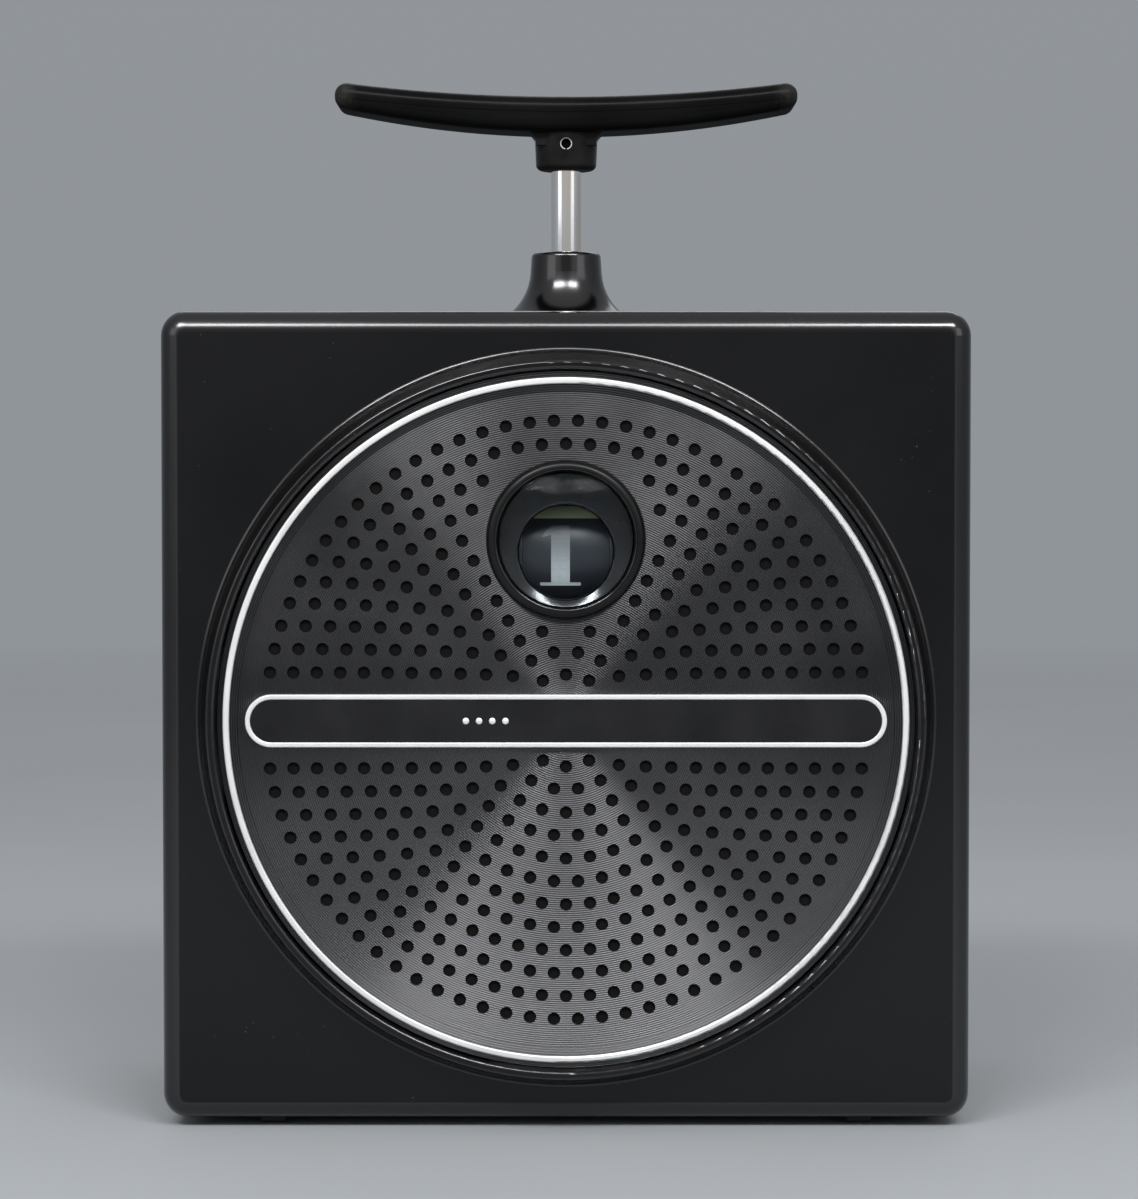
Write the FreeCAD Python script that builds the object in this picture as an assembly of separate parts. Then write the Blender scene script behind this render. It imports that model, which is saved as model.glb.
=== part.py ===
import FreeCAD, Part
import math
import os

# Portable 8 track cartridge player with a plunger handle.
#
# +X is to the right seen from the front, the front faces -Y and +Z is up. The origin is under the
# middle of the case, on the surface that the feet stand on. All sizes are in millimetres.
#
# The plunger carries a rack. The rack turns the number drum a quarter turn for each press, and a
# spiral cam on the drum's shaft tips a lever that moves the tape head by one track.

V = FreeCAD.Vector

# ---- case ----------------------------------------------------------------------------------------
BODY_W = 208.0            # width of the case
BODY_H = 208.0            # height of the case without its feet
BODY_D = 110.0            # depth of the case without the lip about the grille
REAR_D = 35.0             # depth of the rear cover
WALL = 3.0                # moulded wall
CORNER_R = 6.5            # upright corners, seen from the front
EDGE_R = 5.5              # rounding of the front and rear edges
SPIGOT_L = 2.5            # length of the rear cover's inner lip
SPIGOT_T = 1.4            # thickness of that lip
FIT = 0.2                 # clearance where mouldings locate each other
RUN = 0.06                # radial clearance of a shaft in its bearing
PRESS = 0.02              # radial clearance of a pressed or glued piece
THREAD = 0.05             # radial clearance of a screw in the hole it cuts its thread in
SCREW_PASS = 0.2          # radial clearance of a screw in a plain hole
GAP = 0.4                 # free space between pieces that move past each other
FOOT_H = 2.0              # what a foot stands proud
FOOT_W = 6.4
FOOT_L = 12.0
FOOT_X = 76.0             # feet from the middle plane
FOOT_INSET = 14.0         # feet from the front and rear faces
FOOT_SEAT = 1.0           # depth of the pocket that a foot is glued in
FOOT_PLAY = 0.05          # pocket wider than the foot, on each side
VENT_COUNT = 9            # slots in the rear cover
VENT_L = 100.0
VENT_H = 2.4
VENT_PITCH = 7.0
VENT_Z = 120.0            # lowest slot
CASE_SCREW_SINK = 10.0    # heads of the case screws below the rear face
CASE_SCREW_BITE = 10.0    # case screws into the front half

# ---- speaker grille ------------------------------------------------------------------------------
GRILLE_DROP = 0.5         # grille centre below the middle of the case
LIP_RISE = 10.0           # lip about the grille, proud of the front face
LIP_BASE_R = 94.2
LIP_RIM_R = 91.3          # outer shoulder of the lip
LIP_MOUTH_R = 89.4        # inner shoulder of the lip
LIP_ROUND_R = 0.7         # rounding of both shoulders
LEDGE_R = 83.0            # inner edge of the ledge that carries the grille panel
LEDGE_T = 2.0
PANEL_RECESS = 3.0        # grille panel's face below the rim of the lip
PANEL_T = 1.0
PANEL_R = 88.6
BEAD_R = 83.4             # foot of the sloping bead round the panel
BEAD_RISE = 1.3
RING_IN_R = 85.5          # bright ring on the panel
RING_OUT_R = 87.2
RING_RISE = 1.9
HOLE_R = 1.62             # sound holes
HOLE_PITCH = 5.864        # from one circle of holes to the next
HOLE_FIRST = 2            # circle number k holds 6k holes
HOLE_LAST = 13
HOLE_MARGIN = 1.16        # label edge to the nearest hole centre
LENS_MARGIN = 2.47        # bezel edge to the nearest hole centre
CLOTH_R = 82.6            # dust cloth behind the panel
CLOTH_T = 0.4

# ---- label bar -----------------------------------------------------------------------------------
LABEL_L = 163.0
LABEL_H = 13.44
LABEL_T = 1.6
LABEL_TRIM_W = 1.3        # width of the bright outline
LABEL_TRIM_RISE = 0.3     # outline proud of the bar

# ---- magnifier and number drum -------------------------------------------------------------------
LENS_RAISE = 46.0         # magnifier's axis above the grille's
BEZEL_R = 20.3
BEZEL_RISE = 2.6          # bezel proud of the grille panel
BEZEL_ROUND_R = 1.5
NECK_R = 18.9             # bezel's neck behind the panel
LENS_R = 18.1
LENS_SINK = 0.9           # lens edge below the bezel's face
LENS_EDGE_T = 1.2
LENS_BULGE = 1.2
TUNNEL_R = 17.4           # wide end of the tunnel behind the lens
SIGHT_R = 12.0            # narrow end of the tunnel
SIGHT_DROP = 3.3          # narrow end, and the drum, below the magnifier's axis
SIGHT_THROAT = 1.5        # straight length of the narrow end
SIGHT_ROUND_R = 1.1       # rounding between the tunnel and its narrow end
DRUM_R = 15.0
DRUM_W = 22.0
DRUM_RIM_T = 1.6
DRUM_HUB_R = 4.5
DRUM_PROUD = 0.4          # drum's front proud of the case's front face
DRUM_SHAFT_R = 2.0
WINDOW_PLAY = 3.0         # hole in the front wall round the drum that turns in it

# ---- plunger -------------------------------------------------------------------------------------
PLUNGER_Y = 5.0           # plunger axis
STROKE = 14.0             # travel of a full press
ROD_R = 4.05
BOSS_TOP = 17.9           # boss above the top of the case
BOSS_TOP_R = 9.3
BOSS_WAIST_R = 9.65
BOSS_WAIST = 12.5         # where the flare begins, above the top of the case
BOSS_FOOT_R = 17.7
BOSS_ROUND_R = 1.3
BUSH_T = 1.8              # wall of the rod's bush
BUSH_FLANGE_R = 9.0
BUSH_FLANGE_T = 2.0
BUSH_TAIL = 12.0          # bush below the top wall
SOCKET_CLEAR = 22.1       # grip's socket above the boss
SOCKET_R = 8.1            # socket's lower end
SOCKET_TOP_R = 8.6        # socket where it meets the bar
SOCKET_ROUND_R = 1.8
SOCKET_FLARE_R = 11.5     # flare that blends the socket into the bar, to the left and right
SOCKET_FLARE_H = 3.3
SOCKET_FLARE_D = 13.0
GRIP_L = 124.0
GRIP_D = 22.0             # front to back
GRIP_UNDER = 9.8          # underside of the bar above the socket's lower end
GRIP_T = 9.5              # bar's thickness at the middle
GRIP_END_T = 6.8
GRIP_RISE = 4.0           # ends of the bar above its middle
GRIP_CAP_T = 4.2          # upper moulding at the middle
GRIP_CAP_END = 5.0        # length of the upper moulding's ends
GRIP_ROUND_R = 3.2
GRIP_STEP = 0.2           # lower moulding inside the upper one's sides
GRIP_END_PLAY = 0.1       # lower moulding between the upper one's ends
PIN_R = 1.6               # roll pin
PIN_WALL = 0.3
PIN_SINK = 0.15           # pin's ends below the socket
PIN_SLIT = 0.5
PIN_UP = 6.75             # roll pin above the socket's lower end
COLLAR_R = 8.0
COLLAR_T = 5.0
SPRING_WIRE = 1.2
SPRING_TURNS = 6
SPRING_RUNS = 16          # straight runs in one turn of the coil
SPRING_ROOM = 21.7        # room for the coil between its seat and the collar
SEAT_T = 1.5              # lower spring seat

# ---- program gearing -----------------------------------------------------------------------------
GEAR_TEETH = 18
GEAR_W = 5.0
RACK_W = 6.0
RACK_D = 5.0
CAM_R = 6.0
CAM_W = 4.0
CAM_BESIDE_BAY = 27.6     # left face of the cam beyond the cartridge bay's inner end
TRACK_PITCH = 0.8         # tape head's move for one program
SHEET_T = 1.2             # sheet steel brackets
CHEEK_PLAY = 1.0          # drum, gear and bracket cheeks beside each other
FLANGE_W = 8.0            # drum bracket's flanges beside its cheeks
BRACKET_SCREW_Z = 15.0    # drum bracket's screws above and below the drum's axis
LEVER_T = 2.5
LEVER_W = 7.0
LEVER_PIN_R = 1.5
LEVER_PIVOT_DROP = 23.4   # lever pivot below the drum's axis
LEVER_PIVOT_BACK = 22.0   # lever pivot behind the drum's axis
LEVER_BRACKET_BESIDE = 1.5  # lever's bracket beside the cam
CARRIAGE_PIN_UP = 7.9     # carriage pin above the middle of the cartridge
CARRIAGE_PIN_IN = 2.5     # carriage pin behind the carriage's front
FORK_PLAY = 1.0           # lever's fork deeper than the carriage pin

# ---- cartridge bay -------------------------------------------------------------------------------
CART_L = 133.4            # a standard cartridge
CART_H = 101.6
CART_T = 22.2
CART_OUT = 22.0           # what a loaded cartridge stands out of the case
SLOT_PLAY = 0.7           # slot wider than the cartridge
SLOT_PLAY_H = 2.4         # slot higher than the cartridge
BAY_WALL = 1.4
BAY_DROP = 166.8          # floor of the slot below the top of the case
FLAP_T = 1.6
FLAP_PIN_R = 0.9
FLAP_BARREL_R = 1.7
STOP_LIP = 7.0            # lips that stop the cartridge

# ---- speaker -------------------------------------------------------------------------------------
SPK_R = 51.0              # speaker's flange
SPK_RAISE = -23.5         # speaker's axis above the grille's
SPK_CONE_R = 43.0
SPK_DEPTH = 34.5
SPK_SHEET = 1.0
MAGNET_R = 24.0
MAGNET_T = 12.0
POLE_R = 8.0
SPK_HOLE_R = 45.0

# ---- transport -----------------------------------------------------------------------------------
CAPSTAN_R = 2.5
CAPSTAN_IN = 3.0          # capstan's axis beyond the cartridge's end
CAPSTAN_DROP = 14.2       # capstan's axis below the top of the slot
FLYWHEEL_R = 30.0
FLYWHEEL_W = 8.0
BEARING_R = 6.0
BELT_T = 0.9
BELT_W = 4.0
MOTOR_R = 17.5
MOTOR_L = 28.0
MOTOR_IN = 38.0           # motor's axis from the left side of the case
MOTOR_DROP = 15.0         # motor's axis below the capstan's
MOTOR_SHAFT_R = 1.0
MOTOR_SHAFT_IN = 11.0     # shaft inside the motor
PULLEY_R = 5.5
HEAD_W = 12.0             # tape head across the tape path
HEAD_H = 13.0
HEAD_L = 8.0
CARRIAGE_L = 10.0
CARRIAGE_H = 24.0
CARRIAGE_D = 12.0
RAIL_R = 1.5
RAIL_SPREAD = 14.0

# ---- batteries, board, controls ------------------------------------------------------------------
CELL_R = 17.1             # a D cell
CELL_L = 61.5
CELL_COLUMNS = 3
CELL_ROWS = 2
CELL_END_ROOM = 2.6       # room for the contacts at each end of a row
TRAY_WALL = 1.6
TRAY_Z = 18.0
CONTACT_T = 0.5
CONTACT_W = 16.0          # contact plates are square
CONTACT_RISE = 1.7        # button on a contact plate
DOOR_T = 2.2
DOOR_LAND = 4.0           # rear cover left round the door, inside the tray
HINGE_R = 0.7             # pins at the door's lower corners
HINGE_L = 1.8
DOOR_SINK = 0.1           # door's face below the rear face
DOOR_TAB = 2.2            # depth and height of the door's snap tab
BOARD_W = 62.0
BOARD_T = 1.6
BOARD_OVER_TRAY = 8.0     # board's lower edge above the battery tray
BOARD_DROP = 26.0         # board's upper edge below the top of the case
BOARD_STAND = 6.0         # board from the chassis plate
SLIDER_TRAVEL = 40.0
SLIDER_Z = 118.0          # middle of the travel
SLIDER_SPACING = 20.0
SLIDER_RECESS = 4.6       # depth of the control recess
KNOB_L = 11.0
KNOB_W = 8.0
STEM_W = 2.4
EAR_R = 1.8               # 3.5 mm earphone plug
DC_R = 2.8                # 5.5 mm DC plug
JACK_Z = 34.0
JACK_L = 15.0
JACK_GAP = 0.3            # sockets behind the wall
JACK_MOUTH = 2.2          # plain hole in the wall wider than the bore, for the plug's sleeve
JACK_BODY = 3.4           # body wider than the bore on each side
JACK_FLOOR = 3.0
KNOB_SINK = 0.3           # knobs below the left side
SCREW_R = 1.5
SCREW_HEAD_R = 3.0
SCREW_HEAD_T = 1.8
CHASSIS_SCREW_BITE = 6.0  # chassis screws into their posts
POST_R = 4.0
POST_INSET = 10.0         # corner posts from the outside of the case
CHASSIS_POST_X = 80.0
CHASSIS_POST_DROP = 22.0  # upper chassis posts below the top of the case

# ---- places that follow from the sizes -----------------------------------------------------------
Y_RIM = -(BODY_D + LIP_RISE) / 2
Y_FACE = Y_RIM + LIP_RISE
Y_WALL = Y_FACE + WALL
Y_BACK = Y_FACE + BODY_D
Y_PART = Y_BACK - REAR_D
Z_LOW = FOOT_H
Z_TOP = FOOT_H + BODY_H
GRILLE_Z = FOOT_H + BODY_H / 2 - GRILLE_DROP
Y_PANEL = Y_RIM + PANEL_RECESS
SIDE_X = BODY_W / 2
LENS_Z = GRILLE_Z + LENS_RAISE
DRUM_Y = Y_FACE - DRUM_PROUD + DRUM_R
DRUM_Z = LENS_Z - SIGHT_DROP
BOSS_Z = Z_TOP + BOSS_TOP
SOCKET_Z = BOSS_Z + SOCKET_CLEAR
BAR_UNDER_Z = SOCKET_Z + GRIP_UNDER
BAR_TOP_Z = BAR_UNDER_Z + GRIP_T
SPLIT_Z = BAR_TOP_Z - GRIP_CAP_T
PIN_Z = SOCKET_Z + PIN_UP
BUSH_END_Z = Z_TOP - WALL - BUSH_TAIL
COLLAR_TOP_Z = BUSH_END_Z - GAP
SEAT_Z = COLLAR_TOP_Z - COLLAR_T - SPRING_ROOM - SEAT_T
ROD_END_Z = SEAT_Z - GAP
GEAR_PITCH_R = STROKE / (math.pi / 2)
MODULE = 2 * GEAR_PITCH_R / GEAR_TEETH
CHEEK_X = DRUM_W / 2 + CHEEK_PLAY
GEAR_X = CHEEK_X + SHEET_T + CHEEK_PLAY
LEVER_Y = DRUM_Y + LEVER_PIVOT_BACK
LEVER_Z = DRUM_Z - LEVER_PIVOT_DROP
SPK_Z = GRILLE_Z + SPK_RAISE
MAGNET_Y = Y_WALL + SPK_DEPTH
BAY_Y0 = MAGNET_Y + 2.1 + BAY_WALL
FLAP_PIN_Y = BAY_Y0 + GAP + FLAP_BARREL_R
SLOT_Y0 = FLAP_PIN_Y + FLAP_BARREL_R
SLOT_Y1 = SLOT_Y0 + CART_T + SLOT_PLAY
SLOT_Z0 = Z_TOP - BAY_DROP
SLOT_Z1 = SLOT_Z0 + CART_H + SLOT_PLAY_H
BAY_X0 = SIDE_X + CART_OUT - CART_L
CAM_X = BAY_X0 - CAM_BESIDE_BAY
BAY_X1 = SIDE_X - WALL
FLAP_X = BAY_X1 - GAP - FLAP_BARREL_R
CHASSIS_Y = SLOT_Y1 + BAY_WALL
CHASSIS_BACK = CHASSIS_Y + SHEET_T
HEAD_Z = (SLOT_Z0 + SLOT_Z1) / 2
CARRIAGE_PIN_Z = HEAD_Z + CARRIAGE_PIN_UP
CAPSTAN_X = BAY_X0 - CAPSTAN_IN
CAPSTAN_Z = SLOT_Z1 - CAPSTAN_DROP
MOTOR_X = -SIDE_X + MOTOR_IN
MOTOR_Z = CAPSTAN_Z - MOTOR_DROP
FLYWHEEL_Y = CHASSIS_BACK + 3.5
BELT_Y = FLYWHEEL_Y + (FLYWHEEL_W - BELT_W) / 2
TRAY_X = CELL_COLUMNS * CELL_L / 2 + CELL_END_ROOM
TRAY_H = CELL_ROWS * 2 * CELL_R
TRAY_D = 2 * CELL_R
TRAY_Y1 = Y_BACK - WALL
DOOR_X = TRAY_X - DOOR_LAND
DOOR_Z0 = TRAY_Z + DOOR_LAND
DOOR_Z1 = TRAY_Z + TRAY_H - DOOR_LAND
BOARD_Z = TRAY_Z + TRAY_H + TRAY_WALL + BOARD_OVER_TRAY
BOARD_H = Z_TOP - BOARD_DROP - BOARD_Z
SLIDER_Y = (Y_WALL + CHASSIS_Y) / 2
RECESS_X = -SIDE_X + SLIDER_RECESS


# ---- plain solids --------------------------------------------------------------------------------
def box(x0, x1, y0, y1, z0, z1):
    return Part.makeBox(x1 - x0, y1 - y0, z1 - z0, V(x0, y0, z0))


def rod_x(r, x0, x1, y, z):
    return Part.makeCylinder(r, x1 - x0, V(x0, y, z), V(1, 0, 0))


def rod_y(r, x, y0, y1, z):
    return Part.makeCylinder(r, y1 - y0, V(x, y0, z), V(0, 1, 0))


def rod_z(r, x, y, z0, z1):
    return Part.makeCylinder(r, z1 - z0, V(x, y, z0), V(0, 0, 1))


def turned(profile, centre, axis):
    """Solid turned about an axis along Y or Z from a closed list of (radius, place on the axis)."""
    if axis == "y":
        points = [V(r, a, 0) for r, a in profile]
        direction = V(0, 1, 0)
    else:
        points = [V(r, 0, a) for r, a in profile]
        direction = V(0, 0, 1)
    face = Part.Face(Part.makePolygon(points + points[:1]))
    solid = face.revolve(V(0, 0, 0), direction, 360)
    solid.translate(V(*centre))
    return solid


def turned_x(profile, y, z):
    """Solid turned about an axis along X from a closed list of (radius, place on the axis)."""
    points = [V(a, r, 0) for r, a in profile]
    face = Part.Face(Part.makePolygon(points + points[:1]))
    solid = face.revolve(V(0, 0, 0), V(1, 0, 0), 360)
    solid.translate(V(0, y, z))
    return solid


def fuse(solids):
    whole = solids[0]
    for piece in solids[1:]:
        whole = whole.fuse(piece)
    return whole.removeSplitter()


def cut(solid, tools):
    for tool in tools:
        solid = solid.cut(tool)
    return solid


def rounded(solid, radius, chosen):
    """Round the edges whose middle point passes the test."""
    edges = []
    for edge in solid.Edges:
        middle = edge.valueAt((edge.FirstParameter + edge.LastParameter) / 2)
        if chosen(edge, middle):
            edges.append(edge)
    return solid.makeFillet(radius, edges)


def runs_along(edge, direction):
    """True for a straight edge in a direction."""
    if not isinstance(edge.Curve, Part.Line):
        return False
    return abs(abs(edge.Curve.Direction.dot(direction)) - 1) < 1e-6


def near(a, b):
    return abs(a - b) < 1e-4


def block_rounded_seen_from_front(x0, x1, y0, y1, z0, z1, radius):
    solid = box(x0, x1, y0, y1, z0, z1)
    return rounded(solid, radius, lambda e, m: runs_along(e, V(0, 1, 0)))


def block_rounded_seen_from_side(x0, x1, y0, y1, z0, z1, radius):
    solid = box(x0, x1, y0, y1, z0, z1)
    return rounded(solid, radius, lambda e, m: runs_along(e, V(1, 0, 0)))


def screw_y(x, z, y_head, length, r=SCREW_R, head_r=SCREW_HEAD_R, towards=-1):
    """Pan head screw along Y: the head stands on y_head and the shank runs towards -Y or +Y."""
    tip = y_head + towards * length
    top = y_head - towards * SCREW_HEAD_T
    shank = rod_y(r, x, min(y_head, tip), max(y_head, tip), z)
    head = rod_y(head_r, x, min(y_head, top), max(y_head, top), z)
    slot_w = 0.8
    y0, y1 = sorted((top, top + towards * 0.9))
    slots = [
        box(x - slot_w / 2, x + slot_w / 2, y0, y1, z - head_r * 0.6, z + head_r * 0.6),
        box(x - head_r * 0.6, x + head_r * 0.6, y0, y1, z - slot_w / 2, z + slot_w / 2),
    ]
    return cut(fuse([shank, head]), slots)


# ---- case ----------------------------------------------------------------------------------------
def case_block(y0, y1, inset, front_r, back_r):
    """Rounded square block of the case's outline, set in all round by inset."""
    solid = block_rounded_seen_from_front(
        -SIDE_X + inset, SIDE_X - inset, y0, y1, Z_LOW + inset, Z_TOP - inset, CORNER_R - inset)
    if front_r > 0:
        solid = rounded(solid, front_r, lambda e, m: near(m.y, y0))
    if back_r > 0:
        solid = rounded(solid, back_r, lambda e, m: near(m.y, y1))
    return solid


def corner_posts():
    x = SIDE_X - POST_INSET
    return [(sx * x, z) for sx in (-1, 1) for z in (Z_LOW + POST_INSET, Z_TOP - POST_INSET)]


def chassis_posts():
    """Posts for the chassis plate: the right lower one clears the bay, the left one the controls."""
    low_left = TRAY_Z + TRAY_H + TRAY_WALL + POST_R + 3
    low_right = SLOT_Z1 + BAY_WALL + POST_R + 3
    high = Z_TOP - CHASSIS_POST_DROP
    left, right = -CHASSIS_POST_X, CHASSIS_POST_X
    return [(left, low_left), (left, high), (right, low_right), (right, high)]


def foot_places():
    ys = (Y_FACE + FOOT_INSET, Y_BACK - FOOT_INSET)
    return [(sx * FOOT_X, y) for sx in (-1, 1) for y in ys]


def foot_pocket(x, y):
    return box(x - FOOT_W / 2, x + FOOT_W / 2, y - FOOT_L / 2, y + FOOT_L / 2, Z_LOW, Z_LOW + FOOT_SEAT)


def grille_lip():
    """Raised lip about the grille with the ledge that carries the grille panel."""
    ledge_y = Y_PANEL + PANEL_T
    core_r = LIP_MOUTH_R + 0.4
    lip = turned([
        (LIP_BASE_R, Y_FACE + WALL / 2),
        (LIP_BASE_R, Y_FACE),
        (LIP_RIM_R, Y_RIM),
        (LIP_MOUTH_R, Y_RIM),
        (PANEL_R + FIT, ledge_y),
        (LEDGE_R, ledge_y),
        (LEDGE_R, ledge_y + LEDGE_T),
        (core_r - 1.0, ledge_y + LEDGE_T),
        (core_r, Y_FACE + WALL / 2),
    ], (0, 0, GRILLE_Z), "y")
    return rounded(lip, LIP_ROUND_R, lambda e, m: near(m.y, Y_RIM))


def tangent_arc(start, end, direction):
    """Arc from start to end in the X, Z plane that leaves start in a direction."""
    across = V(-direction.z, 0, direction.x).normalize()
    chord = end - start
    r = chord.Length ** 2 / (2 * chord.dot(across))
    centre = start + across * r
    towards = (start - centre).normalize() + (end - centre).normalize()
    return Part.Arc(start, centre + towards.normalize() * abs(r), end)


def plunger_boss():
    """Flared boss on the top of the case, turned about the plunger's axis."""
    root = V(0, 0, Z_TOP - WALL / 2)
    skirt = V(BOSS_FOOT_R, 0, root.z)
    foot = V(BOSS_FOOT_R, 0, Z_TOP)
    waist = V(BOSS_WAIST_R, 0, Z_TOP + BOSS_WAIST)
    edge = V(BOSS_TOP_R, 0, BOSS_Z)
    top = V(0, 0, BOSS_Z)
    wire = Part.Wire([
        Part.LineSegment(root, skirt).toShape(),
        Part.LineSegment(skirt, foot).toShape(),
        tangent_arc(waist, foot, waist - edge).toShape(),
        Part.LineSegment(waist, edge).toShape(),
        Part.LineSegment(edge, top).toShape(),
        Part.LineSegment(top, root).toShape(),
    ])
    boss = Part.Face(wire).revolve(V(0, 0, 0), V(0, 0, 1), 360)
    boss = rounded(boss, BOSS_ROUND_R, lambda e, m: near(m.z, BOSS_Z) and math.hypot(m.x, m.y) > 1)
    boss.translate(V(0, PLUNGER_Y, 0))
    return boss


def speaker_post(x, z):
    """Low post beside the speaker's flange, so that the screw's head clamps the flange."""
    post = rod_y(SCREW_HEAD_R + 0.4, x, Y_WALL - 1, Y_WALL + SPK_SHEET, z)
    return post.cut(rod_y(SPK_R + FIT, 0, Y_WALL, Y_WALL + SPK_SHEET + 1, SPK_Z))


def slider_places():
    return [SLIDER_Y - SLIDER_SPACING / 2, SLIDER_Y + SLIDER_SPACING / 2]


def recess_block(grow):
    """The control recess in the left side, grown by a wall."""
    half_y = SLIDER_SPACING / 2 + KNOB_W / 2 + 5
    half_z = SLIDER_TRAVEL / 2 + KNOB_L / 2 + 4
    return (SLIDER_Y - half_y - grow, SLIDER_Y + half_y + grow,
            SLIDER_Z - half_z - grow, SLIDER_Z + half_z + grow)


def jack_places():
    return [(SLIDER_Y - SLIDER_SPACING / 2, EAR_R), (SLIDER_Y + SLIDER_SPACING / 2, DC_R)]


def drum_window_r():
    """The drum's corners at the wall's inner face, and the play round them."""
    half_chord = math.sqrt(DRUM_R ** 2 - (DRUM_Y - Y_WALL) ** 2)
    return math.hypot(DRUM_W / 2, half_chord) + WINDOW_PLAY


def front_cabinet():
    outer = case_block(Y_FACE, Y_PART, 0, EDGE_R, 0)
    inner = case_block(Y_WALL, Y_PART + 1, WALL, EDGE_R - WALL, 0)
    shell = outer.cut(inner)
    y0, y1, z0, z1 = recess_block(WALL)
    inside = box(-SIDE_X + WALL / 2, RECESS_X + WALL, y0, y1, z0, z1)
    posts = [rod_y(POST_R, x, Y_WALL - 1, Y_PART, z) for x, z in corner_posts()]
    posts += [rod_y(POST_R, x, Y_WALL - 1, CHASSIS_Y, z) for x, z in chassis_posts()]
    spk_posts = [speaker_post(x, z) for x, z in speaker_screw_places()]
    shell = fuse([shell, grille_lip(), plunger_boss(), inside] + posts + spk_posts)
    y0, y1, z0, z1 = recess_block(0)
    tools = [
        block_rounded_seen_from_side(-SIDE_X - 1, RECESS_X, y0, y1, z0, z1, 3.0),
        rod_y(SPK_HOLE_R, 0, Y_FACE - 1, Y_WALL + 1, SPK_Z),
        rod_y(drum_window_r(), 0, Y_FACE - 1, Y_WALL + 1, DRUM_Z),
        rod_z(ROD_R + RUN + BUSH_T, 0, PLUNGER_Y, Z_TOP - WALL - 1, BOSS_Z + 1),
        box(SIDE_X - WALL - 1, SIDE_X + 1, SLOT_Y0, SLOT_Y1, SLOT_Z0, SLOT_Z1),
    ]
    for y in slider_places():
        half = SLIDER_TRAVEL / 2 + STEM_W
        tools.append(box(RECESS_X - 1, RECESS_X + WALL + 1,
                         y - STEM_W / 2 - GAP, y + STEM_W / 2 + GAP, SLIDER_Z - half, SLIDER_Z + half))
    for y, r in jack_places():
        tools.append(rod_x(r + JACK_MOUTH, -SIDE_X - 1, -SIDE_X + WALL + 1, y, JACK_Z))
    for x, z in corner_posts():
        tools.append(rod_y(SCREW_R + THREAD, x, Y_PART - CASE_SCREW_BITE - 2, Y_PART + 1, z))
    for x, z in chassis_posts():
        tools.append(rod_y(SCREW_R + THREAD, x, CHASSIS_Y - CHASSIS_SCREW_BITE - 2, CHASSIS_Y + 1, z))
    for x, z in speaker_screw_places() + bracket_screw_places():
        tools.append(rod_y(SCREW_R + THREAD, x, Y_WALL - 2.2, Y_WALL + SPK_SHEET + 1, z))
    tools.append(foot_pocket(*foot_places()[0]))
    tools.append(foot_pocket(*foot_places()[2]))
    return cut(shell, tools)


def rear_cover():
    outer = case_block(Y_PART, Y_BACK, 0, 0, EDGE_R)
    inner = case_block(Y_PART - 1, Y_BACK - WALL, WALL, 0, EDGE_R - WALL)
    shell = outer.cut(inner)
    lip_out = case_block(Y_PART - SPIGOT_L, Y_PART + 1, WALL + FIT, 0, 0)
    lip_in = case_block(Y_PART - SPIGOT_L - 1, Y_PART + 1.5, WALL + FIT + SPIGOT_T, 0, 0)
    bridge = case_block(Y_PART, Y_PART + 1, WALL / 2, 0, 0).cut(
        case_block(Y_PART - 1, Y_PART + 2, WALL + FIT + SPIGOT_T, 0, 0))
    lip = lip_out.cut(lip_in)
    clear = [rod_y(POST_R + FIT, x, Y_PART - SPIGOT_L - 1, Y_PART, z) for x, z in corner_posts()]
    lip = cut(lip, clear)
    posts = [rod_y(POST_R, x, Y_PART, Y_BACK - WALL / 2, z) for x, z in corner_posts()]
    cover = fuse([shell, bridge, lip] + posts)
    tools = []
    for x, z in corner_posts():
        tools.append(rod_y(SCREW_R + SCREW_PASS, x, Y_PART - 1, Y_BACK, z))
        tools.append(rod_y(SCREW_HEAD_R + 0.4, x, screw_seat_y(), Y_BACK + 1, z))
    tools.append(box(-DOOR_X, DOOR_X, Y_BACK - WALL - 1, Y_BACK + 1, DOOR_Z0, DOOR_Z1))
    pin_x = DOOR_X + HINGE_L
    tools.append(rod_x(HINGE_R + RUN, -pin_x, pin_x, hinge_y(), hinge_z()))
    tools.append(foot_pocket(*foot_places()[1]))
    tools.append(foot_pocket(*foot_places()[3]))
    for i in range(VENT_COUNT):
        z0 = VENT_Z + VENT_PITCH * i - VENT_H / 2
        tools.append(block_rounded_seen_from_front(
            -VENT_L / 2, VENT_L / 2, Y_BACK - WALL - 1, Y_BACK + 1, z0, z0 + VENT_H, 0.48 * VENT_H))
    return cut(cover, tools)


def screw_seat_y():
    return Y_BACK - CASE_SCREW_SINK


def cabinet_screws():
    length = screw_seat_y() - Y_PART + CASE_SCREW_BITE
    return Part.makeCompound([screw_y(x, z, screw_seat_y(), length) for x, z in corner_posts()])


def rubber_feet():
    feet = []
    for x, y in foot_places():
        half_w, half_l = FOOT_W / 2 - FOOT_PLAY, FOOT_L / 2 - FOOT_PLAY
        foot = box(x - half_w, x + half_w, y - half_l, y + half_l, 0, Z_LOW + FOOT_SEAT)
        feet.append(rounded(foot, 0.6, lambda e, m: near(m.z, 0)))
    return Part.makeCompound(feet)


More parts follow.
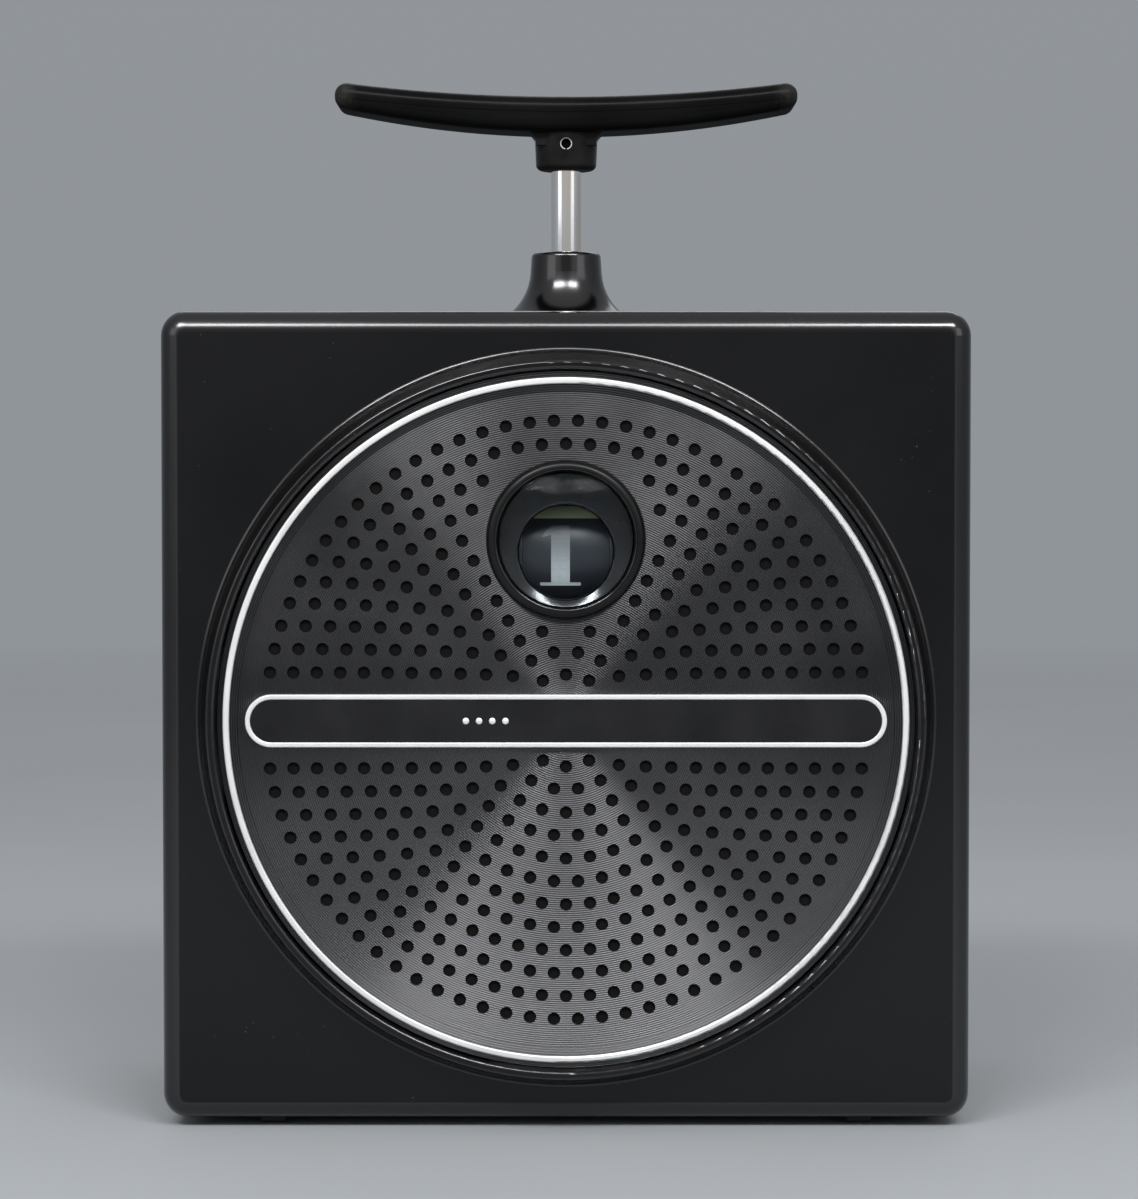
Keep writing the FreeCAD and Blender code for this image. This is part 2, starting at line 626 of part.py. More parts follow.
# ---- grille, label, magnifier --------------------------------------------------------------------
def sound_holes():
    """Hole centres from the grille's centre: circle k holds 6k holes, odd circles half a step on."""
    places = []
    for k in range(HOLE_FIRST, HOLE_LAST + 1):
        for j in range(6 * k):
            angle = 2 * math.pi * (j + 0.5 * (k % 2)) / (6 * k)
            x = HOLE_PITCH * k * math.sin(angle)
            z = HOLE_PITCH * k * math.cos(angle)
            behind_label = abs(z) < LABEL_H / 2 + HOLE_MARGIN
            behind_lens = math.hypot(x, z - LENS_RAISE) < BEZEL_R + LENS_MARGIN
            if not behind_label and not behind_lens:
                places.append((x, z))
    return places


def circle_wire(r, x, z):
    return Part.Wire(Part.Circle(V(x, 0, z), V(0, 1, 0), r).toShape())


def grille_panel():
    """Perforated disc with a sloping bead inside the bright ring and a flange under it."""
    holes = [circle_wire(HOLE_R, x, z) for x, z in sound_holes()]
    holes.append(circle_wire(NECK_R + FIT, 0, LENS_RAISE))
    for wire in holes:
        wire.reverse()
    disc = Part.Face([circle_wire(PANEL_R, 0, 0)] + holes).extrude(V(0, PANEL_T, 0))
    disc.translate(V(0, Y_PANEL, GRILLE_Z))
    bead = turned([
        (BEAD_R, Y_PANEL + PANEL_T / 2),
        (BEAD_R, Y_PANEL),
        (RING_IN_R - 0.1, Y_PANEL - BEAD_RISE),
        (RING_IN_R - 0.1, Y_PANEL + PANEL_T / 2),
    ], (0, 0, GRILLE_Z), "y")
    return disc.fuse(bead)


def grille_ring():
    ring = turned([
        (RING_IN_R, Y_PANEL),
        (RING_IN_R, Y_PANEL - RING_RISE),
        (RING_OUT_R, Y_PANEL - RING_RISE),
        (RING_OUT_R, Y_PANEL),
    ], (0, 0, GRILLE_Z), "y")
    return rounded(ring, 0.5, lambda e, m: near(m.y, Y_PANEL - RING_RISE))


def grille_cloth():
    """Thin black cloth glued on the back of the panel, with a hole for the magnifier's neck."""
    back = Y_PANEL + PANEL_T
    cloth = rod_y(CLOTH_R, 0, back, back + CLOTH_T, GRILLE_Z)
    return cloth.cut(rod_y(NECK_R + GAP, 0, back - 1, back + CLOTH_T + 1, LENS_Z))


def pill(length, height, y0, y1):
    """Bar with half round ends, lying along X on the grille's centre."""
    half = (length - height) / 2
    bar = box(-half, half, y0, y1, GRILLE_Z - height / 2, GRILLE_Z + height / 2)
    ends = [rod_y(height / 2, sx * half, y0, y1, GRILLE_Z) for sx in (-1, 1)]
    return fuse([bar] + ends)


def label_plate():
    inset = 2 * LABEL_TRIM_W
    return pill(LABEL_L - inset - FIT, LABEL_H - inset - FIT, Y_PANEL - LABEL_T, Y_PANEL)


def label_trim():
    outer = pill(LABEL_L, LABEL_H, Y_PANEL - LABEL_T - LABEL_TRIM_RISE, Y_PANEL)
    inset = 2 * LABEL_TRIM_W
    trim = outer.cut(pill(LABEL_L - inset, LABEL_H - inset, Y_RIM - 1, Y_PANEL + 1))
    front = Y_PANEL - LABEL_T - LABEL_TRIM_RISE
    return rounded(trim, 0.35, lambda e, m: near(m.y, front))


def lens_bezel():
    """Rounded ring on the grille panel with a tunnel that narrows and drops towards the drum."""
    front = Y_PANEL - BEZEL_RISE
    rear = Y_FACE - GAP
    body = turned([
        (0, front),
        (BEZEL_R - 0.6, front),
        (BEZEL_R, Y_PANEL),
        (NECK_R, Y_PANEL),
        (NECK_R, rear),
        (0, rear),
    ], (0, 0, LENS_Z), "y")
    body = rounded(body, BEZEL_ROUND_R, lambda e, m: near(m.y, front) and math.hypot(m.x, m.z - LENS_Z) > 1)
    seat = rod_y(LENS_R + THREAD, 0, front - 1, lens_back_y(), LENS_Z)
    narrow_y = rear - SIGHT_THROAT
    wide = circle_wire(TUNNEL_R, 0, LENS_Z)
    wide.translate(V(0, lens_back_y(), 0))
    narrow = circle_wire(SIGHT_R, 0, DRUM_Z)
    narrow.translate(V(0, narrow_y, 0))
    tunnel = Part.makeLoft([wide, narrow], True)
    throat = rod_y(SIGHT_R, 0, narrow_y, rear + 1, DRUM_Z)
    bezel = cut(body, [seat, tunnel, throat])
    return rounded(bezel, SIGHT_ROUND_R, lambda e, m: near(m.y, narrow_y))


def lens_back_y():
    return Y_PANEL - BEZEL_RISE + LENS_SINK + LENS_EDGE_T


def magnifier_lens():
    """Flat backed lens: a disc with the cap of a large ball on its front."""
    back = lens_back_y()
    edge = back - LENS_EDGE_T
    ball_r = (LENS_R ** 2 + LENS_BULGE ** 2) / (2 * LENS_BULGE)
    ball = Part.makeSphere(ball_r, V(0, edge - LENS_BULGE + ball_r, LENS_Z))
    return rod_y(LENS_R, 0, edge - LENS_BULGE, back, LENS_Z).common(ball)


# ---- number drum and its gearing -----------------------------------------------------------------
def number_drum():
    half = DRUM_W / 2
    rim_in = DRUM_R - DRUM_RIM_T
    bore = DRUM_SHAFT_R
    drum = turned_x([
        (bore, -half), (DRUM_HUB_R, -half), (DRUM_HUB_R, -1), (rim_in, -1), (rim_in, -half), (DRUM_R, -half),
        (DRUM_R, half), (rim_in, half), (rim_in, 1), (DRUM_HUB_R, 1), (DRUM_HUB_R, half), (bore, half),
    ], DRUM_Y, DRUM_Z)
    return drum


def drum_shaft():
    return rod_x(DRUM_SHAFT_R, CAM_X - 1, GEAR_X + GEAR_W + 1.5, DRUM_Y, DRUM_Z)


def gear_outline(module, teeth):
    """Spur gear outline in the Y, Z plane with one tooth on +Y, thinned for backlash."""
    pitch_r = module * teeth / 2
    base_r = pitch_r * math.cos(math.radians(20))
    tip_r = pitch_r + 0.92 * module
    root_r = pitch_r - 1.2 * module
    half_tooth = math.pi / (2 * teeth) * 0.84

    def involute(r):
        if r <= base_r:
            return 0.0
        t = math.sqrt((r / base_r) ** 2 - 1)
        return t - math.atan(t)

    radii = [root_r, base_r, (base_r + pitch_r) / 2, pitch_r, (pitch_r + tip_r) / 2, tip_r]
    points = []
    for tooth in range(teeth):
        middle = 2 * math.pi * tooth / teeth
        flank = [(r, half_tooth + involute(pitch_r) - involute(r)) for r in radii]
        side = [(r, middle - a) for r, a in flank] + [(r, middle + a) for r, a in reversed(flank)]
        points += [V(0, r * math.cos(a), r * math.sin(a)) for r, a in side]
    return Part.makePolygon(points + points[:1])


def drum_gear():
    gear = Part.Face(gear_outline(MODULE, GEAR_TEETH)).extrude(V(GEAR_W, 0, 0))
    gear.translate(V(GEAR_X, DRUM_Y, DRUM_Z))
    return gear.cut(rod_x(DRUM_SHAFT_R, GEAR_X - 1, GEAR_X + GEAR_W + 1, DRUM_Y, DRUM_Z))


def cam_step():
    """Cam rise for one program: the track pitch through the lever's two arms."""
    return TRACK_PITCH * LEVER_PIVOT_DROP / (LEVER_Z - CARRIAGE_PIN_Z)


def program_cam():
    """Spiral cam: it gains one step in each quarter turn and falls back in the last one."""
    points = []
    samples = 27
    for i in range(samples + 1):
        turn = 0.75 * i / samples
        r = CAM_R + cam_step() * turn * 4
        points.append(V(0, r * math.cos(2 * math.pi * turn), r * math.sin(2 * math.pi * turn)))
    spiral = Part.BSplineCurve()
    spiral.interpolate(points)
    wire = Part.Wire([spiral.toShape(), Part.LineSegment(points[-1], points[0]).toShape()])
    slab = Part.Face(wire).extrude(V(CAM_W, 0, 0))
    quarter = rod_x(CAM_R, 0, CAM_W, 0, 0)
    cam = slab.fuse(quarter)
    cam.translate(V(CAM_X, DRUM_Y, DRUM_Z))
    return cam.cut(rod_x(DRUM_SHAFT_R, CAM_X - 1, CAM_X + CAM_W + 1, DRUM_Y, DRUM_Z))


def bracket_screw_places():
    x = CHEEK_X + SHEET_T + FLANGE_W / 2
    return [(sx * x, DRUM_Z + sz * BRACKET_SCREW_Z) for sx in (-1, 1) for sz in (-1, 1)]


def drum_bracket():
    """Bent sheet bracket: two cheeks, a floor under the drum and a flange with two holes each side."""
    y0, y1 = Y_WALL, DRUM_Y + 6
    z0, z1 = DRUM_Z - BRACKET_SCREW_Z - 3.5, DRUM_Z + BRACKET_SCREW_Z + 3.5
    floor_z = DRUM_Z - DRUM_R - 2.2
    parts = []
    for sx in (-1, 1):
        a, b = sorted((sx * CHEEK_X, sx * (CHEEK_X + SHEET_T)))
        parts.append(box(a, b, y0, y1, floor_z - SHEET_T, DRUM_Z + 8))
        a, b = sorted((sx * CHEEK_X, sx * (CHEEK_X + SHEET_T + FLANGE_W)))
        parts.append(box(a, b, y0, y0 + SHEET_T, z0, z1))
    parts.append(box(-CHEEK_X, CHEEK_X, y0, y1, floor_z - SHEET_T, floor_z))
    tools = [rod_y(SCREW_R + SCREW_PASS, x, y0 - 1, y0 + SHEET_T + 1, z) for x, z in bracket_screw_places()]
    tools.append(rod_x(DRUM_SHAFT_R + RUN, -CHEEK_X - 5, CHEEK_X + 5, DRUM_Y, DRUM_Z))
    tools.append(rod_y(SPK_R + GAP, 0, y0 - 1, y0 + SPK_SHEET + GAP, SPK_Z))
    return cut(fuse(parts), tools)


def bracket_screws():
    seat = Y_WALL + SHEET_T
    length = SHEET_T + 1.8
    return Part.makeCompound([screw_y(x, z, seat, length, head_r=2.4) for x, z in bracket_screw_places()])


# ---- plunger -------------------------------------------------------------------------------------
def plunger_rod():
    top = SPLIT_Z - GAP
    rod = rod_z(ROD_R, 0, PLUNGER_Y, ROD_END_Z, top)
    rod = rounded(rod, 0.5, lambda e, m: near(m.z, ROD_END_Z) or near(m.z, top))
    return rod.cut(rod_y(PIN_R, 0, PLUNGER_Y - ROD_R - 1, PLUNGER_Y + ROD_R + 1, PIN_Z))


def arc_height(x, middle, rise, half):
    """Height at x of a circular arc that rises by rise from its middle to its ends at +-half."""
    r = (half ** 2 + rise ** 2) / (2 * rise)
    return middle + r - math.sqrt(r ** 2 - x ** 2)


def curved_bar(half, top_mid, top_rise, low_mid, low_rise, depth):
    """Bar between two arcs, seen from the front, extruded front to back."""
    def point(x, middle, rise):
        return V(x, PLUNGER_Y - depth / 2, arc_height(x, middle, rise, GRIP_L / 2))

    tl, tm, tr = (point(x, top_mid, top_rise) for x in (-half, 0, half))
    bl, bm, br = (point(x, low_mid, low_rise) for x in (-half, 0, half))
    wire = Part.Wire([
        Part.Arc(tl, tm, tr).toShape(),
        Part.LineSegment(tr, br).toShape(),
        Part.Arc(br, bm, bl).toShape(),
        Part.LineSegment(bl, tl).toShape(),
    ])
    return Part.Face(wire).extrude(V(0, depth, 0))


def grip_bar(inset):
    """Whole bar with all its edges rounded, set in at the front and back by inset."""
    bar = curved_bar(GRIP_L / 2, BAR_TOP_Z, GRIP_RISE, BAR_UNDER_Z, under_rise(), GRIP_D - 2 * inset)
    return rounded(bar, GRIP_ROUND_R, lambda e, m: True)


def under_rise():
    """Rise of the bar's underside from the middle to the ends."""
    return GRIP_RISE + GRIP_T - GRIP_END_T


def below_parting(half):
    """Space under the parting line of the two mouldings, half long to each side."""
    return curved_bar(half, SPLIT_Z, GRIP_RISE, BAR_UNDER_Z - 5, under_rise(), GRIP_D + 2)


def grip_upper():
    """Upper moulding: the palm side of the bar with both ends."""
    return grip_bar(0).cut(below_parting(GRIP_L / 2 - GRIP_CAP_END))


def grip_lower():
    """Lower moulding: the finger side of the bar and the tapered socket that holds the rod."""
    bar = grip_bar(GRIP_STEP).common(below_parting(GRIP_L / 2 - GRIP_CAP_END - GRIP_END_PLAY))
    lower_z = BAR_UNDER_Z - SOCKET_FLARE_H
    crown_z = BAR_UNDER_Z + 0.9
    web_y = PLUNGER_Y - SOCKET_FLARE_D / 2

    def flare(side):
        return (V(side * SOCKET_R, web_y, lower_z),
                V(side * (0.7 * SOCKET_R + 0.3 * SOCKET_FLARE_R), web_y, 0.3 * lower_z + 0.7 * crown_z),
                V(side * SOCKET_FLARE_R, web_y, crown_z))

    left, right = flare(-1), flare(1)
    wire = Part.Wire([
        Part.Arc(*left).toShape(),
        Part.LineSegment(left[2], right[2]).toShape(),
        Part.Arc(*reversed(right)).toShape(),
        Part.LineSegment(right[0], left[0]).toShape(),
    ])
    web = Part.Face(wire).extrude(V(0, SOCKET_FLARE_D, 0))
    stem = Part.makeCone(SOCKET_R, SOCKET_TOP_R, GRIP_UNDER + 2, V(0, PLUNGER_Y, SOCKET_Z))
    stem = rounded(stem, SOCKET_ROUND_R, lambda e, m: near(m.z, SOCKET_Z))
    tools = [
        rod_z(ROD_R + PRESS, 0, PLUNGER_Y, SOCKET_Z - 1, BAR_TOP_Z),
        rod_y(PIN_R + PRESS, 0, PLUNGER_Y - SOCKET_TOP_R - 1, PLUNGER_Y + SOCKET_TOP_R + 1, PIN_Z),
    ]
    return cut(fuse([bar, stem, web]), tools)


def handle_pin():
    """Rolled spring pin through the socket and the rod."""
    y0, y1 = PLUNGER_Y - SOCKET_R + PIN_SINK, PLUNGER_Y + SOCKET_R - PIN_SINK
    pin = rod_y(PIN_R - PRESS, 0, y0, y1, PIN_Z)
    pin = pin.cut(rod_y(PIN_R - PIN_WALL, 0, y0 - 1, y1 + 1, PIN_Z))
    return pin.cut(box(-PIN_SLIT / 2, PIN_SLIT / 2, y0 - 1, y1 + 1, PIN_Z - PIN_R - 1, PIN_Z))


def rod_bush():
    """Flanged bush pressed up into the boss from inside."""
    r_in = ROD_R + RUN
    r_out = r_in + BUSH_T - PRESS
    under = Z_TOP - WALL
    return turned([
        (r_in, BUSH_END_Z), (r_out, BUSH_END_Z), (r_out, under - BUSH_FLANGE_T),
        (BUSH_FLANGE_R, under - BUSH_FLANGE_T), (BUSH_FLANGE_R, under), (r_out, under),
        (r_out, BOSS_Z - 0.4), (r_in, BOSS_Z - 0.4),
    ], (0, PLUNGER_Y, 0), "z")


def rack_carrier():
    """Collar pinned on the rod, an arm forwards and the rack hanging from it."""
    z1 = COLLAR_TOP_Z
    z0 = z1 - COLLAR_T
    rack_x0 = GEAR_X + (GEAR_W - RACK_W) / 2
    pitch_y = DRUM_Y + GEAR_PITCH_R
    rack_y0 = pitch_y - MODULE
    rack_y1 = rack_y0 + RACK_D
    low_z = DRUM_Z - 6
    collar = rod_z(COLLAR_R, 0, PLUNGER_Y, z0, z1)
    side = box(0, rack_x0 + RACK_W, PLUNGER_Y - 4, PLUNGER_Y + 4, z0, z1)
    arm = box(rack_x0, rack_x0 + RACK_W, rack_y0, PLUNGER_Y + 4, z0, z1)
    rack = box(rack_x0, rack_x0 + RACK_W, rack_y0, rack_y1, low_z, z1)
    carrier = fuse([collar, side, arm, rack])
    carrier = carrier.cut(rod_z(ROD_R + PRESS, 0, PLUNGER_Y, z0 - 1, z1 + 1))
    pitch = math.pi * MODULE
    gaps = int((STROKE + 16) / pitch)
    half_root = pitch / 4 * 1.16 - 1.2 * MODULE * math.tan(math.radians(20))
    half_mouth = pitch / 4 * 1.16 + 1.0 * MODULE * math.tan(math.radians(20))
    root_y = pitch_y + 1.2 * MODULE
    tools = []
    for i in range(-1, gaps):
        z = DRUM_Z + i * pitch
        if z - half_mouth < low_z:
            continue
        points = [V(rack_x0 - 1, rack_y0, z - half_mouth), V(rack_x0 - 1, root_y, z - half_root),
                  V(rack_x0 - 1, root_y, z + half_root), V(rack_x0 - 1, rack_y0, z + half_mouth)]
        tools.append(Part.Face(Part.makePolygon(points + points[:1])).extrude(V(RACK_W + 2, 0, 0)))
    return cut(carrier, tools)


def coil(radius, wire_r, z0, z1, turns, x, y):
    """Open coil spring: round wire swept along a helix of short straight runs with mitred joints."""
    steps = SPRING_RUNS * turns
    points = []
    for i in range(steps + 1):
        a = 2 * math.pi * i / SPRING_RUNS
        points.append(V(x + radius * math.cos(a), y + radius * math.sin(a), z0 + (z1 - z0) * i / steps))
    section = Part.Wire(Part.Circle(points[0], points[1] - points[0], wire_r).toShape())
    mitred = 1
    return Part.makePolygon(points).makePipeShell([section], True, False, mitred)


def plunger_spring():
    low = SEAT_Z + SEAT_T + SPRING_WIRE / 2 + 0.1
    high = COLLAR_TOP_Z - COLLAR_T - SPRING_WIRE / 2 - 0.1
    return coil(ROD_R + 0.6 + SPRING_WIRE / 2, SPRING_WIRE / 2, low, high, SPRING_TURNS, 0, PLUNGER_Y)


def spring_seat():
    """Angle bracket on the chassis plate: the rod's tail runs through its shelf."""
    x = 11.0
    shelf = box(-x, x, PLUNGER_Y - 9, CHASSIS_Y, SEAT_Z, SEAT_Z + SEAT_T)
    leg = box(-x, x, CHASSIS_Y - SEAT_T, CHASSIS_Y, SEAT_Z - 1, SEAT_Z + 16)
    seat = fuse([shelf, leg])
    return seat.cut(rod_z(ROD_R + RUN, 0, PLUNGER_Y, SEAT_Z - 1, SEAT_Z + SEAT_T + 1))


# ---- tape head -----------------------------------------------------------------------------------
def head_lever():
    """Flat lever: its upper end bears on the cam and its lower end is slotted for the carriage pin."""
    x0 = CAM_X + (CAM_W - LEVER_T) / 2
    top_y = DRUM_Y + CAM_R + GAP
    w = LEVER_W / 2
    fork_y = carriage_pin_y()
    fork_top = CARRIAGE_PIN_Z + w + 2
    fork_z = CARRIAGE_PIN_Z - w
    points = [
        V(x0, top_y, DRUM_Z + 3), V(x0, top_y + LEVER_W, DRUM_Z + 3),
        V(x0, LEVER_Y + w, LEVER_Z + w), V(x0, fork_y + w, fork_top), V(x0, fork_y + w, fork_z),
        V(x0, fork_y - w, fork_z), V(x0, fork_y - w, fork_top), V(x0, LEVER_Y - w, LEVER_Z - w),
        V(x0, top_y, DRUM_Z - 3),
    ]
    lever = Part.Face(Part.makePolygon(points + points[:1])).extrude(V(LEVER_T, 0, 0))
    eye = rod_x(w + 1, x0, x0 + LEVER_T, LEVER_Y, LEVER_Z)
    slot_w = LEVER_PIN_R + 0.05
    slot = box(x0 - 1, x0 + LEVER_T + 1, fork_y - slot_w, fork_y + slot_w,
               fork_z - 1, CARRIAGE_PIN_Z + LEVER_PIN_R + FORK_PLAY)
    pivot = rod_x(LEVER_PIN_R + RUN, x0 - 1, x0 + LEVER_T + 1, LEVER_Y, LEVER_Z)
    return cut(fuse([lever, eye]), [pivot, slot])


def carriage_pin_y():
    return carriage_y0() + CARRIAGE_PIN_IN


def lever_bracket():
    """Angle bracket riveted to the chassis plate that holds the lever's pivot pin."""
    x1 = CAM_X - LEVER_BRACKET_BESIDE
    x0 = x1 - SHEET_T
    arm = box(x0, x1, LEVER_Y - 6, CHASSIS_Y, LEVER_Z - 6, LEVER_Z + 6)
    leg = box(x0 - 9, x1, CHASSIS_Y - SHEET_T, CHASSIS_Y, LEVER_Z - 6, LEVER_Z + 6)
    return fuse([arm, leg]).cut(rod_x(LEVER_PIN_R, x0 - 1, x1 + 1, LEVER_Y, LEVER_Z))


def lever_pin():
    return rod_x(LEVER_PIN_R, CAM_X - LEVER_BRACKET_BESIDE - SHEET_T, CAM_X + CAM_W + 1, LEVER_Y, LEVER_Z)


def head_carriage():
    """Block on two rails with the pin that the lever moves."""
    x1 = BAY_X0 - HEAD_L - 2
    x0 = x1 - CARRIAGE_L
    y0 = carriage_y0()
    z0, z1 = HEAD_Z - CARRIAGE_H / 2, HEAD_Z + CARRIAGE_H / 2
    block = box(x0, x1, y0, y0 + CARRIAGE_D, z0, z1)
    block = rounded(block, 1.0, lambda e, m: runs_along(e, V(0, 1, 0)))
    pin = rod_x(LEVER_PIN_R, CAM_X - 0.5, x0 + 1, carriage_pin_y(), CARRIAGE_PIN_Z)
    carriage = fuse([block, pin])
    rails = [rod_y(RAIL_R + RUN, x, y0 - 1, y0 + CARRIAGE_D + 1, z) for x, z in rail_places()]
    return cut(carriage, rails)


def carriage_y0():
    return (SLOT_Y0 + SLOT_Y1) / 2 - CARRIAGE_D / 2 - 1.5


def rail_places():
    x = BAY_X0 - HEAD_L - 2 - CARRIAGE_L / 2
    return [(x, HEAD_Z + sz * RAIL_SPREAD / 2) for sz in (-1, 1)]


def carriage_rails():
    """Two rails riveted in the chassis plate."""
    y0 = carriage_y0() - 4
    return Part.makeCompound([rod_y(RAIL_R, x, y0, CHASSIS_BACK, z) for x, z in rail_places()])


def tape_head():
    """Head with a rounded face towards the tape."""
    x0 = BAY_X0 - HEAD_L - 2
    y0 = carriage_y0() + (CARRIAGE_D - HEAD_W) / 2
    head = box(x0, x0 + HEAD_L, y0, y0 + HEAD_W, HEAD_Z - HEAD_H / 2, HEAD_Z + HEAD_H / 2)
    return rounded(head, 3.0, lambda e, m: runs_along(e, V(0, 1, 0)) and near(m.x, x0 + HEAD_L))


# ---- cartridge bay -------------------------------------------------------------------------------
def cartridge_bay():
    """Rectangular guide with lips at its inner end that stop the cartridge."""
    y0, y1 = BAY_Y0 - BAY_WALL, CHASSIS_Y
    z0, z1 = SLOT_Z0 - BAY_WALL, SLOT_Z1 + BAY_WALL
    outer = box(BAY_X0 - BAY_WALL, BAY_X1, y0, y1, z0, z1)
    tools = [
        box(BAY_X0, BAY_X1 + 1, BAY_Y0, SLOT_Y1, SLOT_Z0, SLOT_Z1),
        box(BAY_X0 - BAY_WALL - 1, BAY_X0 + 1, BAY_Y0, SLOT_Y1, SLOT_Z0 + STOP_LIP, SLOT_Z1 - STOP_LIP),
        rod_z(FLAP_PIN_R, FLAP_X, FLAP_PIN_Y, z0 - 1, z1 + 1),
        rod_y(BEARING_R + GAP, CAPSTAN_X, SLOT_Y1 - 1, CHASSIS_Y + 1, CAPSTAN_Z),
    ]
    return cut(outer, tools)


def cartridge_flap():
    """Dust flap behind the slot, hinged on an upright pin at its front edge."""
    z0, z1 = SLOT_Z0 + GAP, SLOT_Z1 - GAP
    plate = box(FLAP_X - FLAP_T / 2, FLAP_X + FLAP_T / 2, FLAP_PIN_Y, SLOT_Y1 - GAP, z0, z1)
    barrel = rod_z(FLAP_BARREL_R, FLAP_X, FLAP_PIN_Y, z0, z1)
    return fuse([plate, barrel]).cut(rod_z(FLAP_PIN_R + RUN, FLAP_X, FLAP_PIN_Y, z0 - 1, z1 + 1))


def flap_pin():
    return rod_z(FLAP_PIN_R, FLAP_X, FLAP_PIN_Y, SLOT_Z0 - BAY_WALL, SLOT_Z1 + BAY_WALL)


# ---- speaker -------------------------------------------------------------------------------------
def speaker_screw_places():
    r = SPK_R + SCREW_R + 0.8
    angles = [math.radians(a) for a in (45, 135, 225, 315)]
    return [(r * math.cos(a), SPK_Z + r * math.sin(a)) for a in angles]


def speaker_basket():
    """Pressed basket: flange, cone shaped frame with windows, and a back plate."""
    y0 = Y_WALL
    throat = MAGNET_Y - MAGNET_T
    t = SPK_SHEET
    basket = turned([
        (SPK_CONE_R + 0.6, y0), (SPK_R, y0), (SPK_R, y0 + t), (SPK_CONE_R + 3, y0 + t),
        (MAGNET_R, throat - t), (MAGNET_R, throat), (POLE_R + 1.6, throat), (POLE_R + 1.6, throat - t),
        (MAGNET_R - 1.6, throat - t), (SPK_CONE_R + 0.6, y0 + 1.6 * t),
    ], (0, 0, SPK_Z), "y")
    mid_y = (y0 + throat) / 2
    windows = []
    for i in range(6):
        window = box(-6.5, 6.5, mid_y - 5.5, mid_y + 5.5, MAGNET_R - 4, SPK_R)
        window.rotate(V(0, 0, 0), V(0, 1, 0), 60 * i + 30)
        window.translate(V(0, 0, SPK_Z))
        windows.append(window)
    return cut(basket, windows)


def speaker_magnet():
    """Ring magnet and back plate with the pole that stands in the voice coil."""
    throat = MAGNET_Y - MAGNET_T
    return turned([
        (0, throat - 4), (POLE_R, throat - 4), (POLE_R, MAGNET_Y - 2.5), (POLE_R + 3, MAGNET_Y - 2.5),
        (POLE_R + 3, throat), (MAGNET_R, throat), (MAGNET_R, MAGNET_Y - 2.5), (MAGNET_R - 2, MAGNET_Y - 2.5),
        (MAGNET_R - 2, MAGNET_Y), (0, MAGNET_Y),
    ], (0, 0, SPK_Z), "y")


def speaker_cone():
    """Paper cone with its rolled surround, dust cap and voice coil former."""
    y0 = Y_WALL + 0.2
    throat = MAGNET_Y - MAGNET_T
    former = throat + 3
    t = 0.6
    neck = throat - 7
    return turned([
        (SPK_CONE_R, y0), (SPK_CONE_R, y0 + t),
        (SPK_CONE_R - 2.5, y0 + t + 1.0), (SPK_CONE_R - 5, y0 + t + 1.2),
        (POLE_R + 1.2, neck + t), (POLE_R + 1.2, former), (POLE_R + 0.5, former), (POLE_R + 0.5, neck - 1),
        (POLE_R - 3, neck - 4), (0, neck - 5), (0, neck - 5.6), (POLE_R - 2.6, neck - 4.6),
        (POLE_R + 2.4, neck - 2), (SPK_CONE_R - 5.2, y0 + 1.2), (SPK_CONE_R - 2.5, y0 + 1.0),
    ], (0, 0, SPK_Z), "y")


def speaker_screws():
    seat = Y_WALL + SPK_SHEET
    return Part.makeCompound([screw_y(x, z, seat, SPK_SHEET + 1.8) for x, z in speaker_screw_places()])


# ---- transport -----------------------------------------------------------------------------------
def chassis_plate():
    """Steel plate behind the bay: it carries the bay, the motor, the capstan and the board."""
    x = SIDE_X - POST_INSET
    posts_z = [z for _, z in chassis_posts()]
    z0 = min(posts_z) - POST_R
    z1 = max(posts_z) + POST_R
    plate = block_rounded_seen_from_front(-x, x, CHASSIS_Y, CHASSIS_BACK, z0, z1, 3.0)
    holes = [(SCREW_R + SCREW_PASS, place) for place in chassis_posts() + motor_screw_places()]
    holes += [(RAIL_R, place) for place in rail_places()]
    holes += [(BEARING_R, (CAPSTAN_X, CAPSTAN_Z)), (MOTOR_SHAFT_R + 2, (MOTOR_X, MOTOR_Z))]
    return cut(plate, [rod_y(r, px, CHASSIS_Y - 1, CHASSIS_BACK + 1, pz) for r, (px, pz) in holes])


def chassis_screws():
    length = SHEET_T + CHASSIS_SCREW_BITE
    return Part.makeCompound([screw_y(x, z, CHASSIS_BACK, length) for x, z in chassis_posts()])


def motor_screw_places():
    return [(MOTOR_X + 10 * math.cos(a), MOTOR_Z + 10 * math.sin(a)) for a in (0.5, 0.5 + math.pi)]


def motor():
    can = rod_y(MOTOR_R, MOTOR_X, CHASSIS_Y - MOTOR_L, CHASSIS_Y, MOTOR_Z)
    can = rounded(can, 1.5, lambda e, m: near(m.y, CHASSIS_Y - MOTOR_L))
    tail = rod_y(4, MOTOR_X, CHASSIS_Y - MOTOR_L - 2, CHASSIS_Y - MOTOR_L + 1, MOTOR_Z)
    bore = rod_y(MOTOR_SHAFT_R + RUN, MOTOR_X, CHASSIS_Y - MOTOR_SHAFT_IN - 1, CHASSIS_Y + 1, MOTOR_Z)
    holes = [rod_y(SCREW_R + THREAD, x, CHASSIS_Y - 4, CHASSIS_Y + 1, z) for x, z in motor_screw_places()]
    return cut(fuse([can, tail]), [bore] + holes)


def motor_screws():
    return Part.makeCompound([screw_y(x, z, CHASSIS_BACK, SHEET_T + 2.5, head_r=2.4)
                              for x, z in motor_screw_places()])


